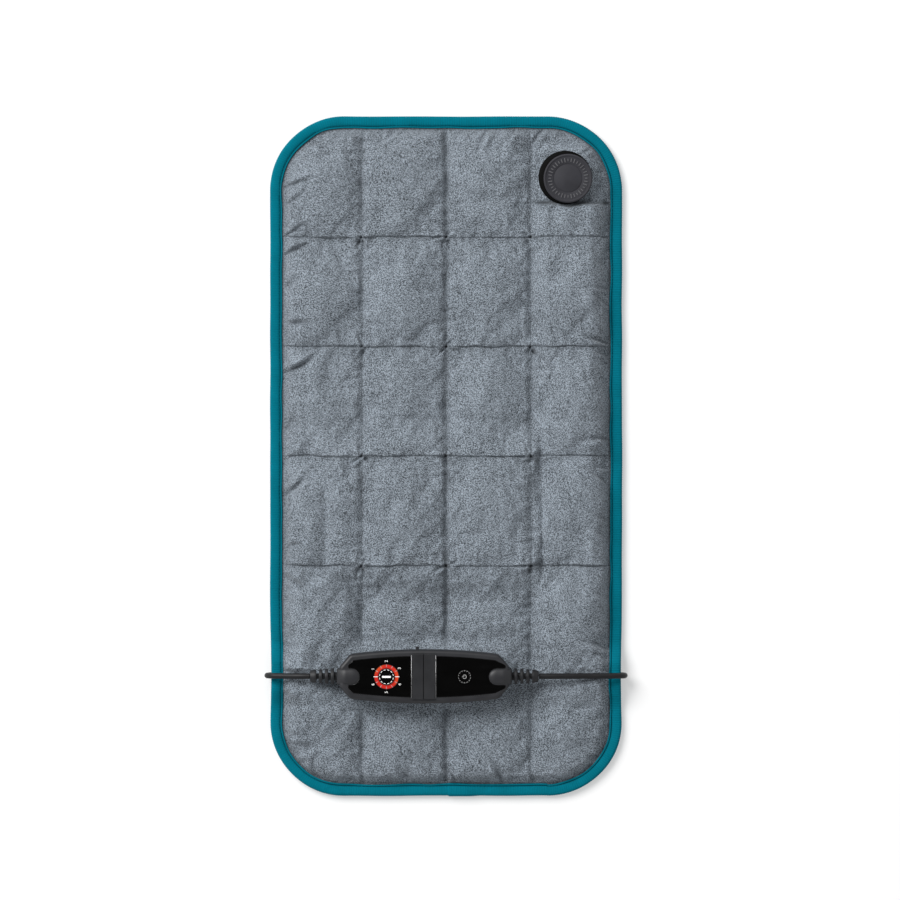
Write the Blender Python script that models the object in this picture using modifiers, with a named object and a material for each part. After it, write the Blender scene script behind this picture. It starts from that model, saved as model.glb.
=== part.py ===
"""Weighted quilted heating pad with a bound edge, a round coupling and an in-line controller.

Metres, +Z up.  The pad lies flat: X across it, Y along it, Z through it.  The origin is the
middle of the face that it rests on.
"""
import math

import bmesh
import bpy
from mathutils import Vector
from mathutils.bvhtree import BVHTree

# ---------------------------------------------------------------- driving sizes
GAP = 0.0003                 # clearance between touching pieces

PAD_WIDTH = 0.311
PAD_LENGTH = 0.600
CORNER_RADIUS = 0.066
CORNER_STEPS = 4
QUILT_COLUMN = 0.2392 * PAD_WIDTH      # distance between the seams along the pad
QUILT_ROW = 0.1608 * PAD_LENGTH        # distance between the seams across the pad
SEAM_HEIGHT = 0.0122
CREST_HEIGHT = 0.0180
WIDEST_CELL = 0.036          # widest cell of the grid that the covers are made from

BINDING_WALL = 0.0012
BINDING_SLOT = 0.0050
BINDING_WIDTH = 0.0110
BINDING_CHAMFER = 0.0015
EDGE_PINCH = 0.0035          # a cord pulls the edge in this much where it goes round

BACK_THICKNESS = 0.0018
CARRIER_THICKNESS = 0.0010
WIRE_RADIUS = 0.0012
TOP_THICKNESS = 0.0020
WIRE_RUNS = 6
WIRE_SPACING = 0.135 * PAD_WIDTH
WIRE_STEP = 0.003
WIRE_TOLERANCE = 0.00025

CORD_RADIUS = 0.0025
CORD_FLOOR = CORD_RADIUS + 0.0003
CORD_LIFT = 2 * CORD_RADIUS + 0.0018   # the pad is held up this much by a cord under it
CORD_MARGIN = 0.0445         # a cord under the pad keeps about this far from the pad's edge
CHANNEL_WIDTH = 0.0350       # width of the raised strip over a cord
CHANNEL_MARGIN = 0.0295      # distance of that strip from the pad's edge
HOP_HALF = 0.0100            # the edge steps over a cord within this distance
WRAP_RADIUS = 0.0098         # a cord bends round the edge at this radius
WRAP_CLEARANCE = -0.0003     # the bend lies this far outside the pad's unpinched edge

COIL_CENTRE = (-QUILT_COLUMN / 2, -QUILT_ROW / 2)
COIL_INNER_RADIUS = 0.0150
COIL_OUTER_RADIUS = 0.0408
COIL_HEIGHT = 4 * CORD_RADIUS + 0.0004
COIL_LIFT = COIL_HEIGHT + 0.0011
COIL_EDGE = 0.0018

COUPLING_X = PAD_WIDTH / 2 - 0.0475
COUPLING_Y = PAD_LENGTH / 2 - 0.0540
POCKET_HEIGHT = 0.0100
CAP_RADIUS = 0.0220
CAP_HEIGHT = 0.0080
CAP_WALL = 0.0018
FLANGE_RADIUS = CAP_RADIUS + 0.0016
POCKET_EDGE_Y = COUPLING_Y - FLANGE_RADIUS + 0.0006   # the pocket starts at this seam
FLANGE_THICKNESS = 0.0026
STEM_RADIUS = 0.0120
STEM_BORE = 0.0075
BACK_DISC_RADIUS = 0.0140
BACK_DISC_HEIGHT = 2 * CORD_RADIUS + 0.0008
COUPLING_RELIEF = (0.0080, 0.0100)
CUTOUT_SIZE = (0.0100, 0.0060, 0.0026)
CONTACT_RADIUS = 0.0012
CONTACT_SPACING = 0.0064
CLAMP_SCREW_CIRCLE = 0.0098
CLAMP_SCREW_RADIUS = 0.0010

CONTROL_X = -0.0192
CONTROL_Y = -2 * QUILT_ROW - 0.0004
CONTROL_LENGTH = 0.1487
CONTROL_WIDTH = 0.0473
SHOULDER_X = CONTROL_LENGTH / 2 - 0.00935
SHOULDER_WIDTH = CONTROL_WIDTH - 0.0083
END_WIDTH = 0.0175
LOWER_HEIGHT = 0.0105
UPPER_HEIGHT = 0.0115
SHELL_WALL = 0.0020
SHELL_ROUND = 0.0030
CONTROL_REST = 0.0190        # height of the pad's top under the controller

WINDOW_THICKNESS = 0.0010
WINDOW_HALF_HEIGHT = CONTROL_WIDTH / 2 - 0.00585
DIAL_WINDOW = (-(CONTROL_LENGTH / 2 - 0.00795), -0.0112)   # its ends, from the middle
BUTTON_WINDOW = (0.0102, CONTROL_LENGTH / 2 - 0.00315)
NOSE_RADIUS = 0.0074
NOSE_TIP = CONTROL_LENGTH / 2 - 0.01775      # where the raised nose ends, from the controller's middle
DIAL_OFFSET = -0.0331
DIAL_RADIUS = 0.0072
DIAL_HEIGHT = 0.0042
SHAFT_RADIUS = 0.0030
RING_OUTER = 0.0110
BUTTON_OFFSET = 0.0353
BUTTON_RADIUS = 0.0058
BUTTON_TRAVEL = 0.0008
BAND_BAR_WIDTH = 0.0098
BAND_BAR_LENGTH = CONTROL_WIDTH - 0.0073
BAND_BAR_HEIGHT = 0.0010
SLIDE_OFFSET = -0.0030
SLIDE_SLOT = 0.0200
SLIDE_TRAVEL = 0.0060
SLIDE_KNOB = 0.0030
SLIDE_PROUD = 0.0024

RELIEF_LENGTH = 0.0260
RELIEF_INSIDE = 0.0040       # length of a strain relief that is inside the case
RELIEF_ROOT = CORD_RADIUS + 0.0041
RELIEF_TIP = CORD_RADIUS + 0.0020
RELIEF_GROOVES = 5

BOARD_SIZE = (CONTROL_LENGTH - 0.0327, CONTROL_WIDTH - 0.0173, 0.0016)
CASE_SCREW_X = CONTROL_LENGTH / 2 - 0.02435
CASE_SCREW_YS = (-0.0120, 0.0145)

PLUG_CENTRE = (QUILT_COLUMN - 0.0344, -0.0300)
PLUG_SIZE = (0.0270, 0.0360, COIL_HEIGHT)
PLUG_RELIEF_SIZE = (0.0090, 0.0115, 0.0080)
BLADE_SIZE = (0.0063, 0.0170, 0.0015)
BLADE_SPACING = 0.0127

# ---------------------------------------------------------------- worked-out places
HALF_X = PAD_WIDTH / 2
HALF_Y = PAD_LENGTH / 2
ARC_X = HALF_X - CORNER_RADIUS
ARC_Y = HALF_Y - CORNER_RADIUS
COVER_INSET = BINDING_WALL + GAP
BAND = BINDING_WIDTH + 0.0016
EDGE_BASE = BINDING_WALL + GAP + 0.0001
EDGE_TOP = EDGE_BASE + BACK_THICKNESS + GAP + TOP_THICKNESS
WIRE_LAYER = 2 * WIRE_RADIUS + 0.0010
CARRIER_OFFSET = BACK_THICKNESS + GAP
WIRE_OFFSET = CARRIER_OFFSET + CARRIER_THICKNESS + WIRE_LAYER / 2
FILL_OFFSET = CARRIER_OFFSET + CARRIER_THICKNESS + WIRE_LAYER
CONTROL_BASE = CONTROL_REST + GAP
CONTROL_SPLIT = CONTROL_BASE + LOWER_HEIGHT
CONTROL_TOP = CONTROL_SPLIT + GAP + UPPER_HEIGHT
CORD_EXIT_Z = CONTROL_SPLIT + GAP / 2
RELIEF_START = CONTROL_LENGTH / 2 - RELIEF_INSIDE
POCKET_TOP = CORD_LIFT + POCKET_HEIGHT
FLANGE_BASE = POCKET_TOP + GAP
WIRE_LOW_Y = -HALF_Y + 0.064
WIRE_HIGH_Y = POCKET_EDGE_Y - 0.018
WIRE_RETURN_Y = COUPLING_Y + 0.004

ROOT = bpy.context.scene.collection


# ---------------------------------------------------------------- scene and helpers
def start_scene():
    """Remove what is in the scene and make the two collections."""
    for old in list(bpy.data.objects):
        bpy.data.objects.remove(old, do_unlink=True)
    parts = bpy.data.collections.new("heating_pad")
    cutters = bpy.data.collections.new("cutters")
    ROOT.children.link(parts)
    ROOT.children.link(cutters)
    return parts, cutters


PARTS, CUTTERS = start_scene()


def material(name, colour, roughness, metallic=0.0):
    """A plain Principled material."""
    result = bpy.data.materials.new(name)
    result.use_nodes = True
    shader = result.node_tree.nodes["Principled BSDF"]
    shader.inputs["Base Color"].default_value = (*colour, 1.0)
    shader.inputs["Roughness"].default_value = roughness
    shader.inputs["Metallic"].default_value = metallic
    result.diffuse_color = (*colour, 1.0)
    return result


PLUSH = ((0.19, 0.215, 0.245), 0.95)
TEAL = ((0.003, 0.17, 0.24), 0.8)
WHITE_FELT = ((0.62, 0.62, 0.60), 0.9)
BLACK_MATTE = ((0.035, 0.036, 0.039), 0.5)
BLACK_GLOSS = ((0.008, 0.008, 0.009), 0.08)
BLACK_SOFT = ((0.012, 0.012, 0.013), 0.55)
GLASS_BEADS = ((0.55, 0.56, 0.55), 0.4)
SILICONE = ((0.65, 0.60, 0.50), 0.5)
RED = ((0.62, 0.03, 0.01), 0.35)
GREEN_BOARD = ((0.02, 0.14, 0.05), 0.4)
STEEL = ((0.55, 0.55, 0.56), 0.3, 1.0)
BRASS = ((0.70, 0.52, 0.22), 0.3, 1.0)
PALE = ((0.75, 0.72, 0.62), 0.5)


def link(mesh, name, look=None, at=(0, 0, 0)):
    """Put a mesh in the scene as a part, or as a cutter when it has no look."""
    item = bpy.data.objects.new(name, mesh)
    item.location = at
    if look is None:
        CUTTERS.objects.link(item)
        item.hide_render = True
        item.display_type = "WIRE"
    else:
        PARTS.objects.link(item)
        mesh.materials.clear()
        mesh.materials.append(material(name, *look))
    return item


def finish_mesh(bm, name, smooth_angle=35):
    """Turn a bmesh into a mesh whose faces point out."""
    bmesh.ops.recalc_face_normals(bm, faces=bm.faces)
    mesh = bpy.data.meshes.new(name)
    bm.to_mesh(mesh)
    bm.free()
    mesh.shade_smooth()
    mesh.set_sharp_from_angle(angle=math.radians(smooth_angle))
    return mesh


def box(name, size, at, look=None, edge=0.0):
    """A box about its centre, with an optional bevel on its edges."""
    bm = bmesh.new()
    bmesh.ops.create_cube(bm, size=1.0)
    bmesh.ops.scale(bm, vec=size, verts=bm.verts)
    item = link(finish_mesh(bm, name), name, look, at)
    if edge:
        bevel = item.modifiers.new("edges", "BEVEL")
        bevel.width = edge
        bevel.segments = 2
    return item


def cylinder(name, radius, bottom, top, centre, look=None, sides=24):
    """An upright cylinder between two heights."""
    bm = bmesh.new()
    bmesh.ops.create_cone(bm, cap_ends=True, segments=sides, radius1=radius,
                          radius2=radius, depth=top - bottom)
    middle = (centre[0], centre[1], (top + bottom) / 2)
    return link(finish_mesh(bm, name), name, look, middle)


def lathe(name, profile, at, look, steps=32, axis="Z"):
    """Turn a closed profile of (radius, height) points, listed down its outer side first."""
    bm = bmesh.new()
    corners = [bm.verts.new((radius, 0.0, height)) for radius, height in profile]
    for first, second in zip(corners, corners[1:] + corners[:1]):
        if first.co.x > 0 or second.co.x > 0:
            bm.edges.new((first, second))
    mesh = bpy.data.meshes.new(name)
    bm.to_mesh(mesh)
    bm.free()
    item = link(mesh, name, look, at)
    screw = item.modifiers.new("turn", "SCREW")
    screw.steps = steps
    screw.render_steps = steps
    screw.use_merge_vertices = True
    screw.merge_threshold = 0.00001
    if axis == "X":
        item.rotation_euler = (0, math.radians(90), 0)
    elif axis == "-X":
        item.rotation_euler = (0, math.radians(-90), 0)
    return item


def tube(name, points, radius, look):
    """A round cord or wire through a list of points."""
    curve = bpy.data.curves.new(name, "CURVE")
    curve.dimensions = "3D"
    curve.bevel_depth = radius
    curve.bevel_resolution = 2
    curve.use_fill_caps = True
    spline = curve.splines.new("POLY")
    spline.points.add(len(points) - 1)
    for slot, point in zip(spline.points, points):
        slot.co = (*point, 1.0)
    item = bpy.data.objects.new(name, curve)
    PARTS.objects.link(item)
    curve.materials.append(material(name, *look))
    return item


def smooth_route(knots, count):
    """Evenly spaced points on a smooth curve through the knots (centripetal Catmull-Rom)."""
    knots = [Vector(knot) for knot in knots]
    ends = [2 * knots[0] - knots[1], *knots, 2 * knots[-1] - knots[-2]]
    fine = []
    for a, b, c, d in zip(ends, ends[1:], ends[2:], ends[3:]):
        t1 = (b - a).length ** 0.5
        t2 = t1 + (c - b).length ** 0.5
        t3 = t2 + (d - c).length ** 0.5
        for step in range(24):
            t = t1 + (t2 - t1) * step / 24
            a1 = a.lerp(b, t / t1)
            a2 = b.lerp(c, (t - t1) / (t2 - t1))
            a3 = c.lerp(d, (t - t2) / (t3 - t2))
            b1 = a1.lerp(a2, t / t2)
            b2 = a2.lerp(a3, (t - t1) / (t3 - t1))
            fine.append(b1.lerp(b2, (t - t1) / (t2 - t1)))
    fine.append(knots[-1])
    lengths = [0.0]
    for first, second in zip(fine, fine[1:]):
        lengths.append(lengths[-1] + (second - first).length)
    result = []
    place = 0
    for number in range(count + 1):
        target = lengths[-1] * number / count
        while place < len(fine) - 2 and lengths[place + 1] < target:
            place += 1
        share = (target - lengths[place]) / (lengths[place + 1] - lengths[place])
        result.append(fine[place].lerp(fine[place + 1], min(share, 1.0)))
    return result


def cut(target, cutter, operation="DIFFERENCE"):
    """Cut one part with a cutter."""
    boolean = target.modifiers.new(cutter.name, "BOOLEAN")
    boolean.operation = operation
    boolean.object = cutter


# ---------------------------------------------------------------- the quilted pad
def grid_lines(places, reach, widest=WIDEST_CELL):
    """Sorted grid lines at the places within a reach, with wide gaps divided evenly."""
    kept = sorted({-reach, reach} | {place for place in places if abs(place) < reach - 0.004})
    result = [kept[0]]
    for start, end in zip(kept, kept[1:]):
        parts = math.ceil((end - start) / widest)
        result += [start + (end - start) * step / parts for step in range(1, parts + 1)]
    return result


INNER_X = HALF_X - BAND
CHANNEL_OUTER = HALF_X - CHANNEL_MARGIN
CHANNEL_INNER = CHANNEL_OUTER - CHANNEL_WIDTH
HOP_ROWS = (CONTROL_Y - HOP_HALF, CONTROL_Y + HOP_HALF)
REST_ROWS = (CONTROL_Y - 0.0296, CONTROL_Y + 0.0324, CONTROL_Y + 0.0644)
COLUMNS = grid_lines([side * place for side in (-1, 1)
                      for place in (0.0, QUILT_COLUMN, CHANNEL_INNER, CHANNEL_OUTER)], INNER_X)
ROWS = grid_lines([QUILT_ROW * number for number in range(-2, 3)]
                  + [*HOP_ROWS, *REST_ROWS, POCKET_EDGE_Y], ARC_Y)
ARCS = [math.pi / 2 * step / CORNER_STEPS for step in range(1, CORNER_STEPS + 1)]
INNER_ARC = CORNER_RADIUS - BAND

# Zones where something under the pad lifts it: low x, high x, low y, high y, lift.
RIGHT_CORD = (CHANNEL_INNER, CHANNEL_OUTER, HOP_ROWS[0], HALF_Y, CORD_LIFT)
LEFT_CORD = (-CHANNEL_OUTER, -CHANNEL_INNER, HOP_ROWS[0], -QUILT_ROW / 3, CORD_LIFT)
RIGHT_HOP = (CHANNEL_INNER, PAD_WIDTH, *HOP_ROWS, CORD_LIFT)
LEFT_HOP = (-PAD_WIDTH, -CHANNEL_INNER, *HOP_ROWS, CORD_LIFT)
COIL_BED = (-CHANNEL_INNER, QUILT_COLUMN, -QUILT_ROW, 0.0, COIL_LIFT)
ZONES = (RIGHT_CORD, LEFT_CORD, RIGHT_HOP, LEFT_HOP, COIL_BED)
CORNER_FADE = HALF_Y - 0.025  # no lift past this line, where the pad's end lies flat


def inside(value, low, high):
    return low - 0.0001 <= value <= high + 0.0001


def lift(x, y):
    """How far the pad's underside is held off the surface at a grid point."""
    height = 0.0
    for low_x, high_x, low_y, high_y, amount in ZONES:
        if inside(x, low_x, high_x) and inside(y, low_y, high_y) and y < CORNER_FADE:
            height = max(height, amount)
    return height


def crest(x, y):
    """The quilted top's height above its lifted underside."""
    if x > QUILT_COLUMN - 0.001 and y > POCKET_EDGE_Y - 0.001:
        return POCKET_HEIGHT
    across = abs(math.sin(math.pi * x / QUILT_COLUMN))
    along = abs(math.sin(math.pi * y / QUILT_ROW))
    quilted = SEAM_HEIGHT + (CREST_HEIGHT - SEAM_HEIGHT) * min(1.0, 1.25 * across * along) ** 0.5
    beside = abs(x - CONTROL_X) - CONTROL_LENGTH / 2
    before = abs(y - CONTROL_Y) - CONTROL_WIDTH / 2
    rest = CONTROL_REST - lift(x, y)
    if beside < 0.008 and before < 0.010:
        return rest
    if beside < WIDEST_CELL and before < WIDEST_CELL:
        return min(quilted, rest)
    return quilted


def row_places():
    """Each grid row's y and its half width, rounded at the corners."""
    places = [(y, INNER_X - (EDGE_PINCH if inside(y, *HOP_ROWS) else 0.0)) for y in ROWS]
    for angle in ARCS:
        y = ARC_Y + INNER_ARC * math.sin(angle)
        half = ARC_X + INNER_ARC * math.cos(angle)
        places.append((y, half))
        places.insert(0, (-y, half))
    return places


PLACES = row_places()


def on_ring(row, column):
    return row in (0, len(PLACES) - 1) or column in (0, len(COLUMNS) - 1)


def sheet_grid():
    """The pad's grid: vertices keyed by row and column, triangulated the same way each time."""
    bm = bmesh.new()
    bmesh.ops.create_grid(bm, x_segments=len(COLUMNS) - 1, y_segments=len(PLACES) - 1, size=1.0)
    level = bm.verts.layers.float.new("base")
    top = bm.verts.layers.float.new("top")
    row_layer = bm.verts.layers.int.new("row")
    column_layer = bm.verts.layers.int.new("column")
    for vert in bm.verts:
        column = round((vert.co.x + 1) / 2 * (len(COLUMNS) - 1))
        row = round((vert.co.y + 1) / 2 * (len(PLACES) - 1))
        y, half = PLACES[row]
        x = COLUMNS[column] * half / INNER_X
        raised = lift(COLUMNS[column], y)
        ring = on_ring(row, column)
        vert[row_layer] = row
        vert[column_layer] = column
        vert[level] = raised + (EDGE_BASE if ring else 0.0)
        vert[top] = raised + (EDGE_TOP if ring else crest(COLUMNS[column], y))
        vert.co = (x, y, 0)
    bmesh.ops.triangulate(bm, faces=bm.faces, quad_method="FIXED")
    return bm


def outward(x, y):
    """The pad outline's outward direction at a point of the grid's rim."""
    if abs(y) > ARC_Y - 0.0001:
        side = min(max(x, -ARC_X), ARC_X)
        end = math.copysign(ARC_Y, y)
        return Vector((x - side, y - end, 0)).normalized()
    return Vector((math.copysign(1.0, x), 0, 0))


def add_band(bm, distance):
    """Extrude the grid's rim outwards into the binding."""
    rim = [edge for edge in bm.edges if edge.is_boundary]
    grown = bmesh.ops.extrude_edge_only(bm, edges=rim)
    for vert in (item for item in grown["geom"] if isinstance(item, bmesh.types.BMVert)):
        vert.co += outward(vert.co.x, vert.co.y) * distance
    fresh = [face for face in bm.faces if len(face.verts) == 4]
    bmesh.ops.triangulate(bm, faces=fresh, quad_method="FIXED")


def drop_ring(bm, pocket=False):
    """Remove the grid's outer ring of cells, and the pocket's cells when asked."""
    doomed = []
    for face in bm.faces:
        centre = face.calc_center_median()
        row_layer = bm.verts.layers.int["row"]
        column_layer = bm.verts.layers.int["column"]
        touches = any(on_ring(v[row_layer], v[column_layer]) for v in face.verts)
        in_pocket = pocket and centre.x > QUILT_COLUMN and centre.y > POCKET_EDGE_Y
        if touches or in_pocket:
            doomed.append(face)
    bmesh.ops.delete(bm, geom=doomed, context="FACES")
    loose = [vert for vert in bm.verts if not vert.link_faces]
    bmesh.ops.delete(bm, geom=loose, context="VERTS")


def thicken(bm, bottom, top):
    """Extrude a sheet into a layer between two height functions of (base, top) levels."""
    base_layer = bm.verts.layers.float["base"]
    top_layer = bm.verts.layers.float["top"]
    grown = bmesh.ops.extrude_face_region(bm, geom=bm.faces[:] + bm.edges[:] + bm.verts[:],
                                          use_keep_orig=True)
    upper = [item for item in grown["geom"] if isinstance(item, bmesh.types.BMVert)]
    raised = set(upper)
    for vert in bm.verts:
        levels = (vert[base_layer], vert[top_layer])
        vert.co.z = top(*levels) if vert in raised else bottom(*levels)


def layer(name, look, bottom, top, wide=False, pocket_open=False):
    """One layer of the pad."""
    bm = sheet_grid()
    if wide:
        add_band(bm, BAND - COVER_INSET)
    else:
        drop_ring(bm, pocket_open)
    thicken(bm, bottom, top)
    return link(finish_mesh(bm, name, 60), name, look)


def underside_tree():
    """A search tree of the pad's underside, for laying the wire on it."""
    bm = sheet_grid()
    base = bm.verts.layers.float["base"]
    for vert in bm.verts:
        vert.co.z = vert[base]
    return BVHTree.FromBMesh(bm)


def make_layers():
    """The four layers of the pad, with a hole for the coupling's stem in the covers."""
    covers = [
        layer("back_cover", PLUSH, lambda base, top: base, lambda base, top: base + BACK_THICKNESS,
              wide=True),
        layer("heater_carrier", WHITE_FELT, lambda base, top: base + CARRIER_OFFSET,
              lambda base, top: base + CARRIER_OFFSET + CARRIER_THICKNESS, pocket_open=True),
        layer("bead_fill", GLASS_BEADS, lambda base, top: base + FILL_OFFSET,
              lambda base, top: top - TOP_THICKNESS - GAP, pocket_open=True),
        layer("top_cover", PLUSH, lambda base, top: top - TOP_THICKNESS, lambda base, top: top,
              wide=True),
    ]
    for cover in (covers[0], covers[3]):
        hole = cylinder(cover.name + "_hole", STEM_RADIUS + GAP, 0.0, 0.05,
                        (COUPLING_X, COUPLING_Y), sides=32)
        cut(cover, hole)


def rim_points():
    """The pad outline's points, anticlockwise, with the lift at each."""
    rows = range(len(PLACES))
    last = len(COLUMNS) - 1
    order = [(0, column) for column in range(last + 1)]
    order += [(row, last) for row in rows[1:]]
    order += [(len(PLACES) - 1, column) for column in range(last - 1, -1, -1)]
    order += [(row, 0) for row in reversed(rows[1:-1])]
    points = []
    for row, column in order:
        y, half = PLACES[row]
        x = COLUMNS[column] * half / INNER_X
        place = Vector((x, y, 0)) + outward(x, y) * BAND
        place.z = lift(COLUMNS[column], y)
        points.append(place)
    return points


def make_binding():
    """A C-shaped strip swept round the outline."""
    bm = bmesh.new()
    height = BINDING_SLOT + 2 * BINDING_WALL
    wall = BINDING_WALL
    chamfer = BINDING_CHAMFER
    profile = [(chamfer, 0), (0, chamfer), (0, height - chamfer), (chamfer, height),
               (BINDING_WIDTH, height), (BINDING_WIDTH, height - wall), (wall, height - wall),
               (wall, wall), (BINDING_WIDTH, wall), (BINDING_WIDTH, 0)]
    rings = []
    for point in rim_points():
        normal = outward(point.x, point.y)
        ring = [bm.verts.new(point - normal * inset + Vector((0, 0, up))) for inset, up in profile]
        rings.append(ring)
    for first, second in zip(rings, rings[1:] + rings[:1]):
        for side in range(len(profile)):
            after = (side + 1) % len(profile)
            bm.faces.new((first[side], second[side], second[after], first[after]))
    return link(finish_mesh(bm, "edge_binding", 30), "edge_binding", TEAL)


def wire_route():
    """The heating wire's plan: from the coupling down, back and forth, and along the top."""
    radius = WIRE_SPACING / 2
    x = WIRE_SPACING * (WIRE_RUNS - 1) / 2
    corners = [(x, COUPLING_Y - STEM_RADIUS - 0.0030)]
    for run in range(WIRE_RUNS - 1):
        end, sign = (WIRE_LOW_Y, -1) if run % 2 == 0 else (WIRE_HIGH_Y, 1)
        corners.append((x, end))
        corners += [(x - radius + radius * math.cos(angle), end + sign * radius * math.sin(angle))
                    for angle in (math.radians(step) for step in range(8, 180, 8))]
        x -= WIRE_SPACING
        corners.append((x, end))
    corners.append((x, WIRE_RETURN_Y - radius))
    corners += [(x + radius - radius * math.cos(angle),
                 WIRE_RETURN_Y - radius + radius * math.sin(angle))
                for angle in (math.radians(step) for step in range(8, 90, 8))]
    corners.append((COUPLING_X - STEM_RADIUS - 0.0040, WIRE_RETURN_Y))
    route = []
    for (x1, y1), (x2, y2) in zip(corners, corners[1:]):
        parts = max(1, round(math.dist((x1, y1), (x2, y2)) / WIRE_STEP))
        route += [(x1 + (x2 - x1) * part / parts, y1 + (y2 - y1) * part / parts)
                  for part in range(parts)]
    return route + [corners[-1]]


def thin_out(points, tolerance):
    """Drop the points that a straight line passes within the tolerance."""
    first, last = points[0], points[-1]
    along = (last - first).normalized()
    away = [(point - first - along * (point - first).dot(along)).length for point in points]
    furthest = max(range(len(points)), key=away.__getitem__)
    if away[furthest] <= tolerance:
        return [first, last]
    return thin_out(points[:furthest + 1], tolerance)[:-1] + thin_out(points[furthest:], tolerance)


def make_wire():
    """The heating wire, lying on its carrier."""
    tree = underside_tree()
    path = []
    for x, y in wire_route():
        ground = tree.ray_cast(Vector((x, y, -0.1)), Vector((0, 0, 1)))[0]
        path.append(Vector((x, y, ground.z + WIRE_OFFSET)))
    return tube("heating_wire", thin_out(path, WIRE_TOLERANCE), WIRE_RADIUS, SILICONE)


# ---------------------------------------------------------------- the coupling
def around(count, radius, centre, turn=0.0):
    """Points on a circle."""
    for number in range(count):
        angle = math.radians(turn) + 2 * math.pi * number / count
        yield centre[0] + radius * math.cos(angle), centre[1] + radius * math.sin(angle)


def make_coupling():
    """The coupling's base, cap, seal, back disc, screws, contacts and cord relief."""
    centre = (COUPLING_X, COUPLING_Y)
    floor = (COUPLING_X, COUPLING_Y, 0)
    flange_top = FLANGE_BASE + FLANGE_THICKNESS
    stem_bottom = BACK_DISC_HEIGHT + 2 * GAP
    base = lathe("coupling_base",
                 [(STEM_BORE, flange_top), (FLANGE_RADIUS - 0.0012, flange_top),
                  (FLANGE_RADIUS, flange_top - 0.0010), (FLANGE_RADIUS, FLANGE_BASE),
                  (STEM_RADIUS, FLANGE_BASE), (STEM_RADIUS, stem_bottom),
                  (STEM_BORE, stem_bottom)], floor, BLACK_SOFT, 40)
    cap_bottom = flange_top + GAP
    cap_top = cap_bottom + CAP_HEIGHT
    lathe("coupling_cap",
          [(0, cap_top), (CAP_RADIUS * 0.44, cap_top), (CAP_RADIUS * 0.47, cap_top - 0.0004),
           (CAP_RADIUS * 0.86, cap_top - 0.0006), (CAP_RADIUS * 0.95, cap_top - 0.0016),
           (CAP_RADIUS, cap_top - 0.0036), (CAP_RADIUS, cap_bottom),
           (CAP_RADIUS - CAP_WALL, cap_bottom), (CAP_RADIUS - CAP_WALL, cap_top - CAP_WALL - 0.002),
           (CAP_RADIUS - CAP_WALL - 0.002, cap_top - CAP_WALL - 0.0006),
           (0, cap_top - CAP_WALL - 0.0006)], floor, BLACK_SOFT, 40)
    seal_radius = CAP_RADIUS - CAP_WALL - 0.0016
    bm = bmesh.new()
    rings = []
    for x, y in around(32, 1.0, (0, 0)):
        rings.append([bm.verts.new((x * (seal_radius + 0.0008 * math.cos(turn)),
                                    y * (seal_radius + 0.0008 * math.cos(turn)),
                                    0.0008 * math.sin(turn)))
                      for turn in (math.pi / 3 * side for side in range(6))])
    for first, second in zip(rings, rings[1:] + rings[:1]):
        for side in range(6):
            after = (side + 1) % 6
            bm.faces.new((first[side], second[side], second[after], first[after]))
    link(finish_mesh(bm, "coupling_seal", 60), "coupling_seal", BLACK_SOFT,
         (COUPLING_X, COUPLING_Y, flange_top + GAP + 0.0008))
    back = cylinder("coupling_back", BACK_DISC_RADIUS, 0.0002, BACK_DISC_HEIGHT, centre,
                    BLACK_SOFT, 40)
    bevel = back.modifiers.new("edges", "BEVEL")
    bevel.width = 0.0008
    bevel.segments = 2
    bevel.limit_method = "ANGLE"
    screw_top = flange_top - 0.0008
    for number, place in enumerate(around(3, CLAMP_SCREW_CIRCLE, centre, 90)):
        hole = cylinder(f"screw_hole_{number + 1}", CLAMP_SCREW_RADIUS + GAP, -0.001,
                        screw_top + GAP, place, sides=12)
        head_hole = cylinder(f"head_hole_{number + 1}", 2.1 * CLAMP_SCREW_RADIUS + GAP, -0.001,
                             0.0024, place, sides=16)
        cut(base, hole)
        cut(back, hole)
        cut(back, head_hole)
        screw("clamp_screw_%d" % (number + 1), place, 0.0006, screw_top, CLAMP_SCREW_RADIUS)
    plate = cylinder("contact_carrier", STEM_BORE - GAP, stem_bottom + 0.0040,
                     stem_bottom + 0.0062, centre, PALE, 24)
    for number, side in enumerate((-1, 1)):
        spot = (COUPLING_X + side * CONTACT_SPACING / 2, COUPLING_Y)
        hole = cylinder(f"contact_hole_{number + 1}", CONTACT_RADIUS + GAP, 0.0, 0.03, spot,
                        sides=12)
        cut(plate, hole)
        cylinder(f"coupling_contact_{number + 1}", CONTACT_RADIUS, stem_bottom + 0.0010,
                 flange_top + 0.0030, spot, BRASS, 12)
    relief_front = COUPLING_Y - BACK_DISC_RADIUS
    box("coupling_relief", (*COUPLING_RELIEF, BACK_DISC_HEIGHT - 0.0004),
        (COUPLING_X, relief_front - GAP - COUPLING_RELIEF[1] / 2, BACK_DISC_HEIGHT / 2 + 0.0001),
        BLACK_SOFT, 0.0010)
    box("overheat_cutout", CUTOUT_SIZE,
        (COUPLING_X - 0.0140, COUPLING_Y + 0.0140, CORD_LIFT + BACK_THICKNESS + 0.0020), PALE,
        0.0003)


def screw(name, place, bottom, top, radius):
    """A screw driven upwards: its head is at the bottom."""
    head = 1.9 * radius
    head_top = bottom + radius
    lathe(name, [(0, top), (radius, top), (radius, head_top), (head, head_top), (head, bottom),
                 (0, bottom)], (place[0], place[1], 0), STEEL, 12)


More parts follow.
